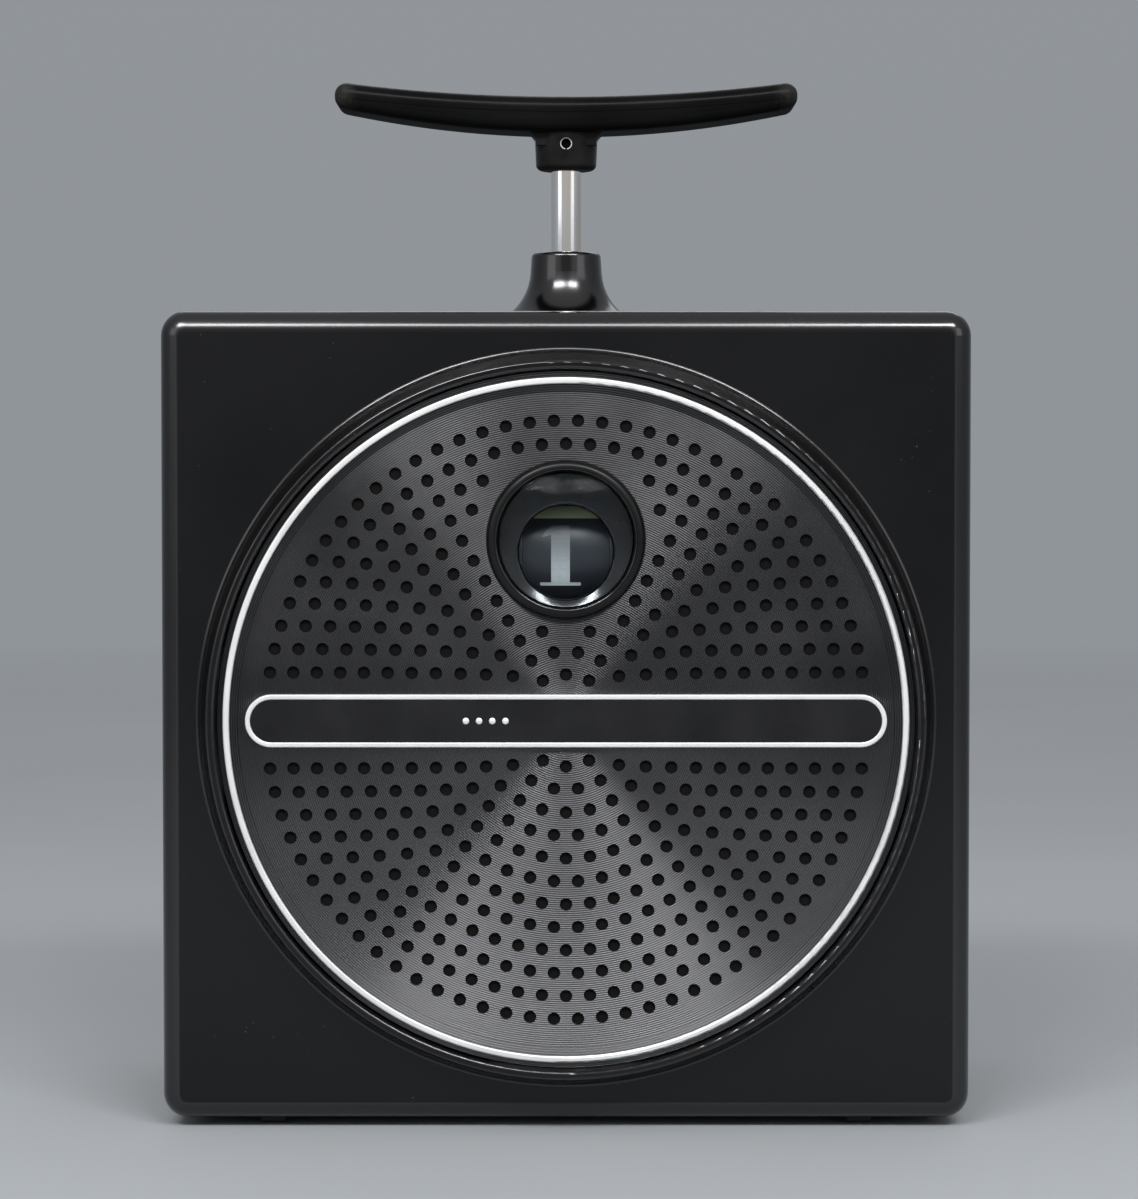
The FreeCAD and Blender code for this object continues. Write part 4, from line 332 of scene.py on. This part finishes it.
def grip_plastic():
    """Moulded grip: dust along its top, worn and dusty ends, a socket greyed by handling."""
    n = Nodes("grip_plastic")
    n.shader.inputs["Specular IOR Level"].default_value = 0.08
    wide = n.noise(30.0, 4.0)
    fine = n.noise(420.0, 2.0)
    place = n.axes(n.coords)
    ends = n.span(n.math("ABSOLUTE", place["X"]), *GRIP_WORN_X, 0.0, 1.0)
    cloudy = n.span(wide, 0.35, 0.65, 0.0, 1.0)
    colour = n.mix(cloudy, (0.0022, 0.0022, 0.0023), (0.0042, 0.0042, 0.004))
    wear_and_painted_sheen = n.math("MULTIPLY", ends, n.span(n.noise(260.0, 4.0), 0.35, 0.65, 0.25, 1.0))
    socket = n.span(place["Z"], SOCKET_TOP_Z, SOCKET_TOP_Z - 1.5 * MM, 0.0, 1.0)
    handled = n.math("MULTIPLY", socket, n.span(n.noise(180.0, 4.0), 0.35, 0.65, 0.4, 1.0))
    colour = n.mix(handled, colour, (0.013, 0.0128, 0.0124))
    colour = n.mix(n.math("MULTIPLY", wear_and_painted_sheen, 0.3), colour, (0.06, 0.058, 0.052))
    settled = n.math("MULTIPLY", n.upward(), n.span(fine, 0.4, 0.7, 0.2, 0.4), clamp=True)
    colour = n.mix(settled, colour, (0.16, 0.155, 0.145))
    roughness = n.span(wide, 0.3, 0.7, 0.18, 0.3)
    for more, amount in ((settled, 0.25), (wear_and_painted_sheen, 0.25), (n.facing(-0.15, -0.6), 0.5)):
        roughness = n.math("ADD", roughness, n.math("MULTIPLY", more, amount), clamp=True)
    return n.finish(colour, roughness, n.bump(fine, 0.16, 0.00008))


def dust_cloth():
    """Black plain weave: threads across and upright in turn."""
    n = Nodes("dust_cloth")
    n.shader.inputs["Specular IOR Level"].default_value = 0.1
    phase = n.axes(n.place(scale=(2 * math.pi / THREAD_PITCH,) * 3))
    across, upright = (n.math("SINE", phase[axis]) for axis in ("X", "Z"))
    weave = n.math("MULTIPLY", across, upright)
    colour = n.mix(n.span(weave, -1.0, 1.0, 0.0, 1.0), (0.003, 0.003, 0.003), (0.008, 0.008, 0.008))
    return n.finish(colour, n.span(n.noise(300.0), 0.3, 0.7, 0.85, 0.95), n.bump(weave, 0.4, 0.0001))


def numeral_paint():
    """Pale print, with painted shade that greys it towards the top of each numeral."""
    n = Nodes("numeral_paint")
    height = n.tree.nodes.new("ShaderNodeAttribute")
    height.attribute_name = "height"
    grain = n.noise(900.0, 2.0)
    # Painted shade: the print darkens towards the top of each numeral.
    painted_shade = n.math("POWER", n.math("SUBTRACT", 1.0, height.outputs["Fac"], clamp=True), 1.8)
    painted_shade = n.math("MULTIPLY", painted_shade, n.span(grain, 0.3, 0.7, 0.9, 1.0), clamp=True)
    colour = n.mix(painted_shade, (0.075, 0.08, 0.086), (0.88, 0.93, 0.95))
    return n.finish(colour, n.span(grain, 0.3, 0.7, 0.4, 0.55), n.bump(grain, 0.1, 0.00008))


BLACK = case_plastic()
TRIM = bright_trim()
STEEL = plain("zinc_steel", (0.42, 0.42, 0.42), (0.6, 0.6, 0.58), (0.28, 0.45), 500.0, 0.12, 1.0)
COIL = plain("coil_steel", (0.32, 0.32, 0.33), (0.5, 0.5, 0.5), (0.25, 0.4), 900.0, 0.1, 1.0)
BRASS = plain("turned_brass", (0.5, 0.37, 0.16), (0.66, 0.5, 0.24), (0.22, 0.36), 900.0, 0.1, 1.0)
ACETAL = plain("acetal", (0.6, 0.59, 0.55), (0.72, 0.71, 0.67), (0.35, 0.5), 600.0, 0.1)
INNER = plain("inner_moulding", (0.018, 0.018, 0.018), (0.034, 0.034, 0.033), (0.4, 0.6), 500.0, 0.2)
# Painted shade: near-black finish for the plug in the roll pin's bore.
BORE_SHADE = plain("painted_bore_shade", (0.003, 0.003, 0.003), (0.006, 0.005, 0.004), (0.5, 0.7), 900.0, 0.3)
BEZEL = plain("bezel_plastic", (0.003, 0.003, 0.0032), (0.006, 0.006, 0.0062), (0.25, 0.35), 700.0,
              0.08, specular=0.25)
KNOB = plain("knob_plastic", (0.012, 0.012, 0.012), (0.02, 0.02, 0.02), (0.35, 0.5), 500.0, 0.15,
             dust=0.2)
LABEL = plain("label_field", (0.006, 0.006, 0.007), (0.01, 0.01, 0.012), (0.28, 0.4), 900.0, 0.08,
              specular=0.25)
DRUM = plain("drum_plastic", (0.021, 0.024, 0.03), (0.03, 0.034, 0.041), (0.3, 0.42), 600.0, 0.1)
PAPER = plain("cone_paper", (0.008, 0.008, 0.008), (0.018, 0.017, 0.016), (0.8, 0.95), 400.0, 0.5)
FERRITE = plain("ferrite", (0.04, 0.04, 0.042), (0.07, 0.07, 0.072), (0.5, 0.7), 500.0, 0.3)
RUBBER = plain("rubber", (0.012, 0.012, 0.012), (0.025, 0.025, 0.024), (0.7, 0.85), 600.0, 0.3)
LAMINATE = plain("board_laminate", (0.2, 0.12, 0.045), (0.3, 0.19, 0.08), (0.35, 0.5), 300.0, 0.15)
SLEEVE = plain("component_sleeve", (0.01, 0.02, 0.06), (0.02, 0.035, 0.09), (0.3, 0.45), 400.0, 0.1)
PAINT = numeral_paint()
OLIVE = plain("olive_paint", (0.5, 0.52, 0.3), (0.66, 0.68, 0.42), (0.5, 0.65), 900.0, 0.1)

FINISHES = {
    BLACK: ["front_cabinet", "rear_cover", "battery_door", "cartridge_flap"],
    BEZEL: ["lens_bezel"],
    TRIM: ["grille_ring", "label_trim"],
    grille_metal(): ["grille_panel"],
    chrome(): ["plunger_rod"],
    clear_lens(): ["magnifier_lens"],
    dust_cloth(): ["grille_cloth"],
    roll_pin(): ["handle_pin"],
    LABEL: ["label_plate"],
    DRUM: ["number_drum"],
    grip_plastic(): ["grip_upper", "grip_lower"],
    KNOB: ["volume_knob", "tone_knob"],
    RUBBER: ["rubber_feet", "drive_belt"],
    PAPER: ["speaker_cone"],
    FERRITE: ["speaker_magnet"],
    LAMINATE: ["circuit_board"],
    SLEEVE: ["circuit_components"],
    INNER: ["cartridge_bay", "battery_tray", "earphone_socket", "dc_socket"],
    ACETAL: ["drum_gear", "program_cam", "rack_carrier", "rod_bush", "head_carriage"],
    BRASS: ["motor_pulley", "capstan_bearing"],
}
finish_of = {name: material for material, names in FINISHES.items() for name in names}
for name, node in nodes.items():
    node.data.materials.clear()
    node.data.materials.append(finish_of.get(name, STEEL))


# ---- pieces: makers ------------------------------------------------------------------------------
def piece(name, verts, faces, material, body):
    """A mesh with one material, which rides on a body."""
    mesh = bpy.data.meshes.new(name)
    mesh.from_pydata(verts, [], faces)
    mesh.validate()
    obj = bpy.data.objects.new(name, mesh)
    scene.collection.objects.link(obj)
    mesh.materials.append(material)
    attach(obj, body)
    return obj


def closed_rings(name, rings, material, body):
    """Closed skin over rings of points: round in each ring, and from the last ring to the first."""
    count = len(rings[0])
    verts = [point for ring in rings for point in ring]
    faces = []
    for k in range(len(rings)):
        a, b = k * count, (k + 1) % len(rings) * count
        for i in range(count):
            j = (i + 1) % count
            faces.append((a + i, a + j, b + j, b + i))
    obj = piece(name, verts, faces, material, body)
    for face in obj.data.polygons:
        face.use_smooth = True


def ring_y(x, z, r, y, around):
    """Points round a circle about an axis along Y, at x and z."""
    turns = (2 * math.pi * i / around for i in range(around))
    return [(x + r * math.cos(turn), y, z + r * math.sin(turn)) for turn in turns]


# ---- number drum: numerals, band and flanges ------------------------------------------------------
def smooth_path(points, steps=8):
    """Points (u, v, half width) joined by a Catmull-Rom curve."""
    ends = [points[0]] + list(points) + [points[-1]]
    path = []
    for p0, p1, p2, p3 in zip(ends, ends[1:], ends[2:], ends[3:]):
        for i in range(steps):
            t = i / steps
            path.append(tuple(
                0.5 * (2 * b + (c - a) * t + (2 * a - 5 * b + 4 * c - d) * t * t
                       + (3 * b - a - 3 * c + d) * t ** 3)
                for a, b, c, d in zip(p0, p1, p2, p3)))
    path.append(tuple(points[-1]))
    return path


# Strokes of the slab numerals: points (u, v, half width) in millimetres, v up from the foot.
NUMERALS = {
    1: [
        [(0, 0.2, 2.4), (0, 8, 2.4), (0, 15.4, 2.4)],
        [(-4.9, 0.5, 0.5), (0, 0.5, 0.5), (4.9, 0.5, 0.5)],
        [(-4.3, 12.4, 0.15), (-3.2, 13.3, 0.7), (-1.6, 14.3, 1.0)],
    ],
    2: [
        [(-3.2, 11.0, 1.2), (-3.1, 12.6, 0.9), (-1.6, 14.4, 0.55), (0.4, 14.9, 0.6), (2.6, 13.8, 1.3),
         (3.3, 11.6, 1.6), (2.4, 9.0, 1.4), (0.2, 6.4, 0.9), (-2.4, 3.8, 0.6), (-4.0, 1.8, 0.5)],
        [(-4.5, 1.2, 1.2), (0, 1.2, 1.2), (4.1, 1.2, 1.2)],
        [(3.7, 1.4, 0.8), (4.2, 2.8, 0.6), (4.5, 4.4, 0.25)],
    ],
    3: [
        [(-3.4, 12.2, 1.0), (-2.4, 14.2, 0.6), (0, 15.0, 0.55), (2.4, 13.8, 1.2), (2.8, 11.6, 1.4),
         (1.8, 9.4, 0.9), (-0.8, 8.3, 0.5)],
        [(-0.8, 8.3, 0.5), (2.2, 7.6, 0.9), (3.6, 4.9, 1.6), (2.6, 1.9, 1.2), (0, 0.6, 0.6),
         (-2.8, 1.4, 0.7), (-3.6, 3.4, 1.1)],
    ],
    4: [
        [(-4.8, 4.9, 0.5), (-1.4, 10.0, 0.55), (1.8, 15.2, 0.6)],
        [(-5.1, 4.6, 0.6), (0, 4.6, 0.6), (5.0, 4.6, 0.6)],
        [(1.9, 0.4, 1.8), (1.9, 8, 1.8), (1.9, 15.3, 1.8)],
        [(-1.4, 0.5, 0.5), (1.9, 0.5, 0.5), (4.9, 0.5, 0.5)],
    ],
}
NUMERAL_H = 15.4
NUMERAL_SIZE = 1.06                  # numerals larger than the strokes are written
NUMERAL_LEFT = 1.4                   # numerals left of the drum's middle
NUMERAL_TURN = math.radians(4)       # numerals a little below the middle of the sight
BAND_TURN = math.radians(-43)        # painted band above the first numeral
BAND_HALF = 2.1
BAND_ROWS = 6


def on_drum(u, v, lift, turn):
    """Point on the drum at u across and v up round it, in millimetres, turned down from the front."""
    angle = turn - v * MM / drum_r
    r = drum_r + lift * MM
    return (drum.x + u * MM, drum.y - r * math.cos(angle), drum.z - r * math.sin(angle))


def stroke_mesh(points, lift, turn, verts, faces, heights):
    """Adds a stroke's strip to verts and faces, and each point's height in the numeral, 0 to 1."""
    path = smooth_path(points)
    first = len(verts)
    for i, (u, v, half) in enumerate(path):
        a, b = path[max(i - 1, 0)], path[min(i + 1, len(path) - 1)]
        du, dv = b[0] - a[0], b[1] - a[1]
        size = math.hypot(du, dv)
        across = (-dv / size * half, du / size * half)
        for side in (-1, 1):
            verts.append(on_drum(u + side * across[0], v + side * across[1], lift, turn))
            heights.append((v + side * across[1]) / (NUMERAL_H * NUMERAL_SIZE) + 0.5)
    for i in range(len(path) - 1):
        k = first + 2 * i
        faces.append((k, k + 1, k + 3, k + 2))


for number, strokes in NUMERALS.items():
    turn = math.radians(90 * (number - 1)) + NUMERAL_TURN
    verts, faces, heights = [], [], []
    for index, points in enumerate(strokes):
        shifted = [(u * NUMERAL_SIZE - NUMERAL_LEFT, (v - NUMERAL_H / 2) * NUMERAL_SIZE, half)
                   for u, v, half in points]
        stroke_mesh(shifted, 0.04 + 0.012 * index, turn, verts, faces, heights)
    numeral = piece("numeral_%d" % number, verts, faces, PAINT, "indicator")
    numeral.data.attributes.new("height", "FLOAT", "POINT").data.foreach_set("value", heights)


def drum_band():
    """Olive band across the drum."""
    half_w = drum_half_w / MM - 0.4
    verts, faces = [], []
    for i in range(BAND_ROWS + 1):
        v = BAND_HALF * (2 * i / BAND_ROWS - 1)
        verts += [on_drum(-half_w, v, 0.03, BAND_TURN), on_drum(half_w, v, 0.03, BAND_TURN)]
    for i in range(BAND_ROWS):
        faces.append((2 * i, 2 * i + 1, 2 * i + 3, 2 * i + 2))
    piece("drum_band", verts, faces, OLIVE, "indicator")


def drum_flange(name, side):
    """Thin flange on an end of the drum, behind the edge of the sight."""
    foot, edge = drum_r - FLANGE_H, drum_r - FLANGE_DROP
    inner, outer = drum_half_w - 0.2 * MM, drum_half_w + FLANGE_W
    profile = [(inner, foot), (outer - 0.1 * MM, foot), (outer, edge - 0.25 * MM),
               (outer - 0.3 * MM, edge), (inner, edge)]
    around = 120
    turns = [2 * math.pi * i / around for i in range(around)]
    rings = [[(drum.x + side * x, drum.y - r * math.cos(turn), drum.z - r * math.sin(turn))
              for turn in turns] for x, r in profile]
    closed_rings(name, rings, DRUM, "indicator")


# ---- case and lens --------------------------------------------------------------------------------
def sight_rim():
    """Crowned rim from the edge of the lens down to the sight, where the tunnel starts."""
    steps = 10
    back_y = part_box("magnifier_lens")[1].y + RIM_GAP
    rings = []
    for i in range(steps + 1):
        share = i / steps
        rings.append(rim_ring(share, back_y + RIM_DEPTH * (0.8 * share + 0.2 * share * share)))
    rings.append(rim_ring(1.0, back_y + RIM_DEPTH + 1.0 * MM))
    rings.append(rim_ring(0.0, back_y + RIM_DEPTH + 0.4 * MM))
    closed_rings("sight_rim", rings, BLACK, "cabinet")


def rim_ring(share, y):
    """Ring of the rim: share is 0 at the lens and 1 at the sight, whose centre is the drum's."""
    z = lens.z + (drum.z - lens.z) * share
    return ring_y(lens.x, z, RIM_R + (SIGHT_R - RIM_R) * share, y, 160)


def lip_fillet():
    """Small hollow fillet at the foot of the raised lip."""
    full = math.pi / 2 - LIP_SLOPE
    reach = FILLET_R * math.tan(full / 2)
    steps = 8
    profile = [(LIP_FOOT_R - 0.4 * MM, FACE_Y + 0.3 * MM)]
    for i in range(steps + 1):
        angle = full * i / steps
        profile.append((LIP_FOOT_R + reach - FILLET_R * math.sin(angle),
                        FACE_Y - FILLET_R * (1 - math.cos(angle))))
    rings = [ring_y(grille.x, grille.z, r, y, 360) for r, y in profile]
    closed_rings("lip_fillet", rings, BLACK, "cabinet")


def lens_edge():
    """Fine bright edge that holds the lens in its bezel."""
    turns = 12
    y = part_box("lens_bezel")[0].y + LENS_EDGE_IN
    rings = []
    for k in range(turns):
        angle = 2 * math.pi * k / turns
        rings.append(ring_y(lens.x, lens.z, LENS_EDGE_R + LENS_EDGE_HALF * math.cos(angle),
                            y - LENS_EDGE_HALF * math.sin(angle), 160))
    closed_rings("lens_edge", rings, BLACK, "cabinet")


# ---- plunger --------------------------------------------------------------------------------------
def pin_bore_shade():
    """Near-black plug that closes the roll pin's bore: painted shade inside the bore."""
    around = 24
    profile = ((-5.0, 0.2), (-4.9, 0.8), (-4.4, 1.28), (4.4, 1.28), (4.9, 0.8), (5.0, 0.2))
    rings = [ring_y(pin.x, pin.z, r * MM, pin.y + y * MM, around) for y, r in profile]
    verts = [point for ring in rings for point in ring]
    faces = [tuple(range(around)), tuple(reversed(range(len(verts) - around, len(verts))))]
    for k in range(len(profile) - 1):
        a, b = k * around, (k + 1) * around
        for i in range(around):
            j = (i + 1) % around
            faces.append((a + i, b + i, b + j, a + j))
    piece("pin_bore_shade", verts, faces, BORE_SHADE, "plunger")


def return_spring():
    """Coil about the rod, in place of the frame's spring."""
    low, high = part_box("plunger_spring")
    middle = (low + high) / 2
    radius = (high.x - low.x) / 2 - SPRING_WIRE_R - 0.01 * MM
    runs, sides = 40, 12
    steps = SPRING_TURNS * runs
    rise = high.z - low.z - 2 * SPRING_WIRE_R
    verts, faces = [], []
    for i in range(steps + 1):
        angle = 2 * math.pi * i / runs
        z = low.z + SPRING_WIRE_R + rise * i / steps
        for k in range(sides):
            lean = 2 * math.pi * k / sides
            r = radius + SPRING_WIRE_R * math.cos(lean)
            verts.append((middle.x + r * math.cos(angle), middle.y + r * math.sin(angle),
                          z + SPRING_WIRE_R * math.sin(lean)))
    for i in range(steps):
        for k in range(sides):
            a, b = i * sides + k, i * sides + (k + 1) % sides
            faces.append((a, b, b + sides, a + sides))
    faces += [tuple(reversed(range(sides))), tuple(range(len(verts) - sides, len(verts)))]
    coil = piece("return_spring", verts, faces, COIL, "cabinet")
    for face in coil.data.polygons:
        face.use_smooth = len(face.vertices) == 4
    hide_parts("plunger_spring")
    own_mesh(coil)


# ---- label bar ------------------------------------------------------------------------------------
def label_dot(name, x):
    """Small raised dot on the label bar: a low dome."""
    rows, sides = 12, 12
    verts = [(x, label_face_y, grille.z + DOT_R), (x, label_face_y, grille.z - DOT_R)]
    for i in range(1, rows):
        lean = math.pi * i / rows
        r = DOT_R * math.sin(lean)
        for k in range(sides + 1):
            turn = math.pi * k / sides
            verts.append((x + r * math.cos(turn), label_face_y - DOT_RISE * r * math.sin(turn),
                          grille.z + DOT_R * math.cos(lean)))
    first, last, row = 2, len(verts) - sides - 1, sides + 1
    faces = []
    for k in range(sides):
        faces += [(0, first + k + 1, first + k), (1, last + k, last + k + 1)]
        for a in range(first + k, last + k, row):
            faces.append((a + 1, a + row + 1, a + row, a))
    dot = piece(name, verts, faces, TRIM, "cabinet")
    for face in dot.data.polygons:
        face.use_smooth = True


# ---- all the pieces after the numerals -----------------------------------------------------------
drum_band()
lip_fillet()
sight_rim()
lens_edge()
pin_bore_shade()
drum_flange("drum_flange_left", -1)
drum_flange("drum_flange_right", 1)
return_spring()
for i in range(4):
    label_dot("label_dot_%d" % (i + 1), (DOT_LEFT + DOT_PITCH * i) * MM)


# ---- floor, light, camera -----------------------------------------------------------------------
FLOOR_R = 8.0
FLOOR_FADE = (0.5, 2.6)              # distances between which the floor fades away
LAMP_TARGET = Vector((0, 0, 0.12))
LAMPS = {                            # place, size, power
    "lamp_left": ((-0.55, -1.25, 1.25), (0.75, 0.3), 15.5),
    "lamp_right": ((0.55, -1.25, 1.25), (0.75, 0.3), 14.5),
    "lamp_between": ((0.0, -1.38, 1.25), (0.4, 0.3), 3.0),
    "lamp_behind": ((0.2, 1.7, 1.35), (1.6, 0.8), 5.0),
    "lamp_side_left": ((-1.3, -1.1, 0.65), (0.9, 0.6), 1.6),
    "lamp_side_right": ((1.3, -1.1, 0.65), (0.8, 0.6), 1.4),
}


def stage_floor():
    """Plain pale floor that fades into the backdrop far from the object."""
    n = Nodes("stage_floor")
    tone = n.noise(2.0, 4.0)
    grain = n.noise(900.0, 3.0)
    colour = n.mix(n.span(tone, 0.35, 0.65, 0.0, 1.0), (0.34, 0.358, 0.375), (0.37, 0.388, 0.405))
    n.shader.inputs["Specular IOR Level"].default_value = 0.15
    material = n.finish(colour, n.span(grain, 0.3, 0.7, 0.75, 0.9), n.bump(grain, 0.1, 0.0003))
    far = n.span(n.vector("LENGTH", n.coords), *FLOOR_FADE, 0.0, 1.0)
    clear = n.tree.nodes.new("ShaderNodeBsdfTransparent")
    n.mix_shaders(far, n.shader.outputs[0], clear.outputs[0])
    mesh = bpy.data.meshes.new("stage_floor")
    form = bmesh.new()
    bmesh.ops.create_circle(form, cap_ends=True, segments=96, radius=FLOOR_R)
    form.to_mesh(mesh)
    form.free()
    mesh.materials.append(material)
    floor = bpy.data.objects.new("stage_floor", mesh)
    floor.location.z = -0.0002
    scene.collection.objects.link(floor)


def lamp(name, place, size, power):
    """Soft rectangular lamp that faces the object."""
    data = bpy.data.lights.new(name, "AREA")
    data.shape = "RECTANGLE"
    data.size, data.size_y = size
    data.energy = power
    obj = bpy.data.objects.new(name, data)
    obj.location = place
    obj.rotation_euler = (LAMP_TARGET - Vector(place)).to_track_quat("-Z", "Y").to_euler()
    scene.collection.objects.link(obj)


def sky():
    """Even soft light: a calm backdrop behind the object, brighter in front of it and overhead."""
    world = bpy.data.worlds.new("studio")
    world.use_nodes = True
    tree = world.node_tree
    coords = tree.nodes.new("ShaderNodeTexCoord")
    way = tree.nodes.new("ShaderNodeSeparateXYZ")
    tree.links.new(coords.outputs["Generated"], way.inputs[0])
    ramp = tree.nodes.new("ShaderNodeValToRGB")
    stops = ((0.0, (0.28, 0.3, 0.322, 1)), (0.3, (0.29, 0.305, 0.325, 1)), (1.0, (0.5, 0.51, 0.52, 1)))
    ramp.color_ramp.elements.new(stops[1][0])
    for element, (position, colour) in zip(ramp.color_ramp.elements, stops):
        element.position = position
        element.color = colour
    tree.links.new(way.outputs["Z"], ramp.inputs[0])
    ahead = tree.nodes.new("ShaderNodeMath")         # 1 in front and above the floor, 0 elsewhere
    ahead.operation = "MULTIPLY"
    for socket, (axis, start, full) in zip(ahead.inputs, (("Y", 0.1, -0.6), ("Z", 0.03, 0.1))):
        span = tree.nodes.new("ShaderNodeMapRange")
        tree.links.new(way.outputs[axis], span.inputs["Value"])
        span.inputs["From Min"].default_value = start
        span.inputs["From Max"].default_value = full
        tree.links.new(span.outputs[0], socket)
    front = tree.nodes.new("ShaderNodeMix")
    front.data_type = "RGBA"
    tree.links.new(ahead.outputs[0], front.inputs["Factor"])
    tree.links.new(ramp.outputs[0], front.inputs[6])
    front.inputs[7].default_value = (0.52, 0.52, 0.53, 1)
    tree.links.new(front.outputs[2], tree.nodes["Background"].inputs[0])
    scene.world = world


stage_floor()
sky()
for name, (place, size, power) in LAMPS.items():
    lamp(name, place, size, power)

# The photograph's own view.
camera_data = bpy.data.cameras.new("camera")
camera_data.sensor_width = 36.0
camera_data.lens = 105.67
camera = bpy.data.objects.new("camera", camera_data)
camera.location = (0.00077, -0.95, 0.16765)
camera.rotation_euler = (math.radians(90 - 2.01), 0, 0)
scene.collection.objects.link(camera)
scene.camera = camera
scene.view_settings.view_transform = "Standard"
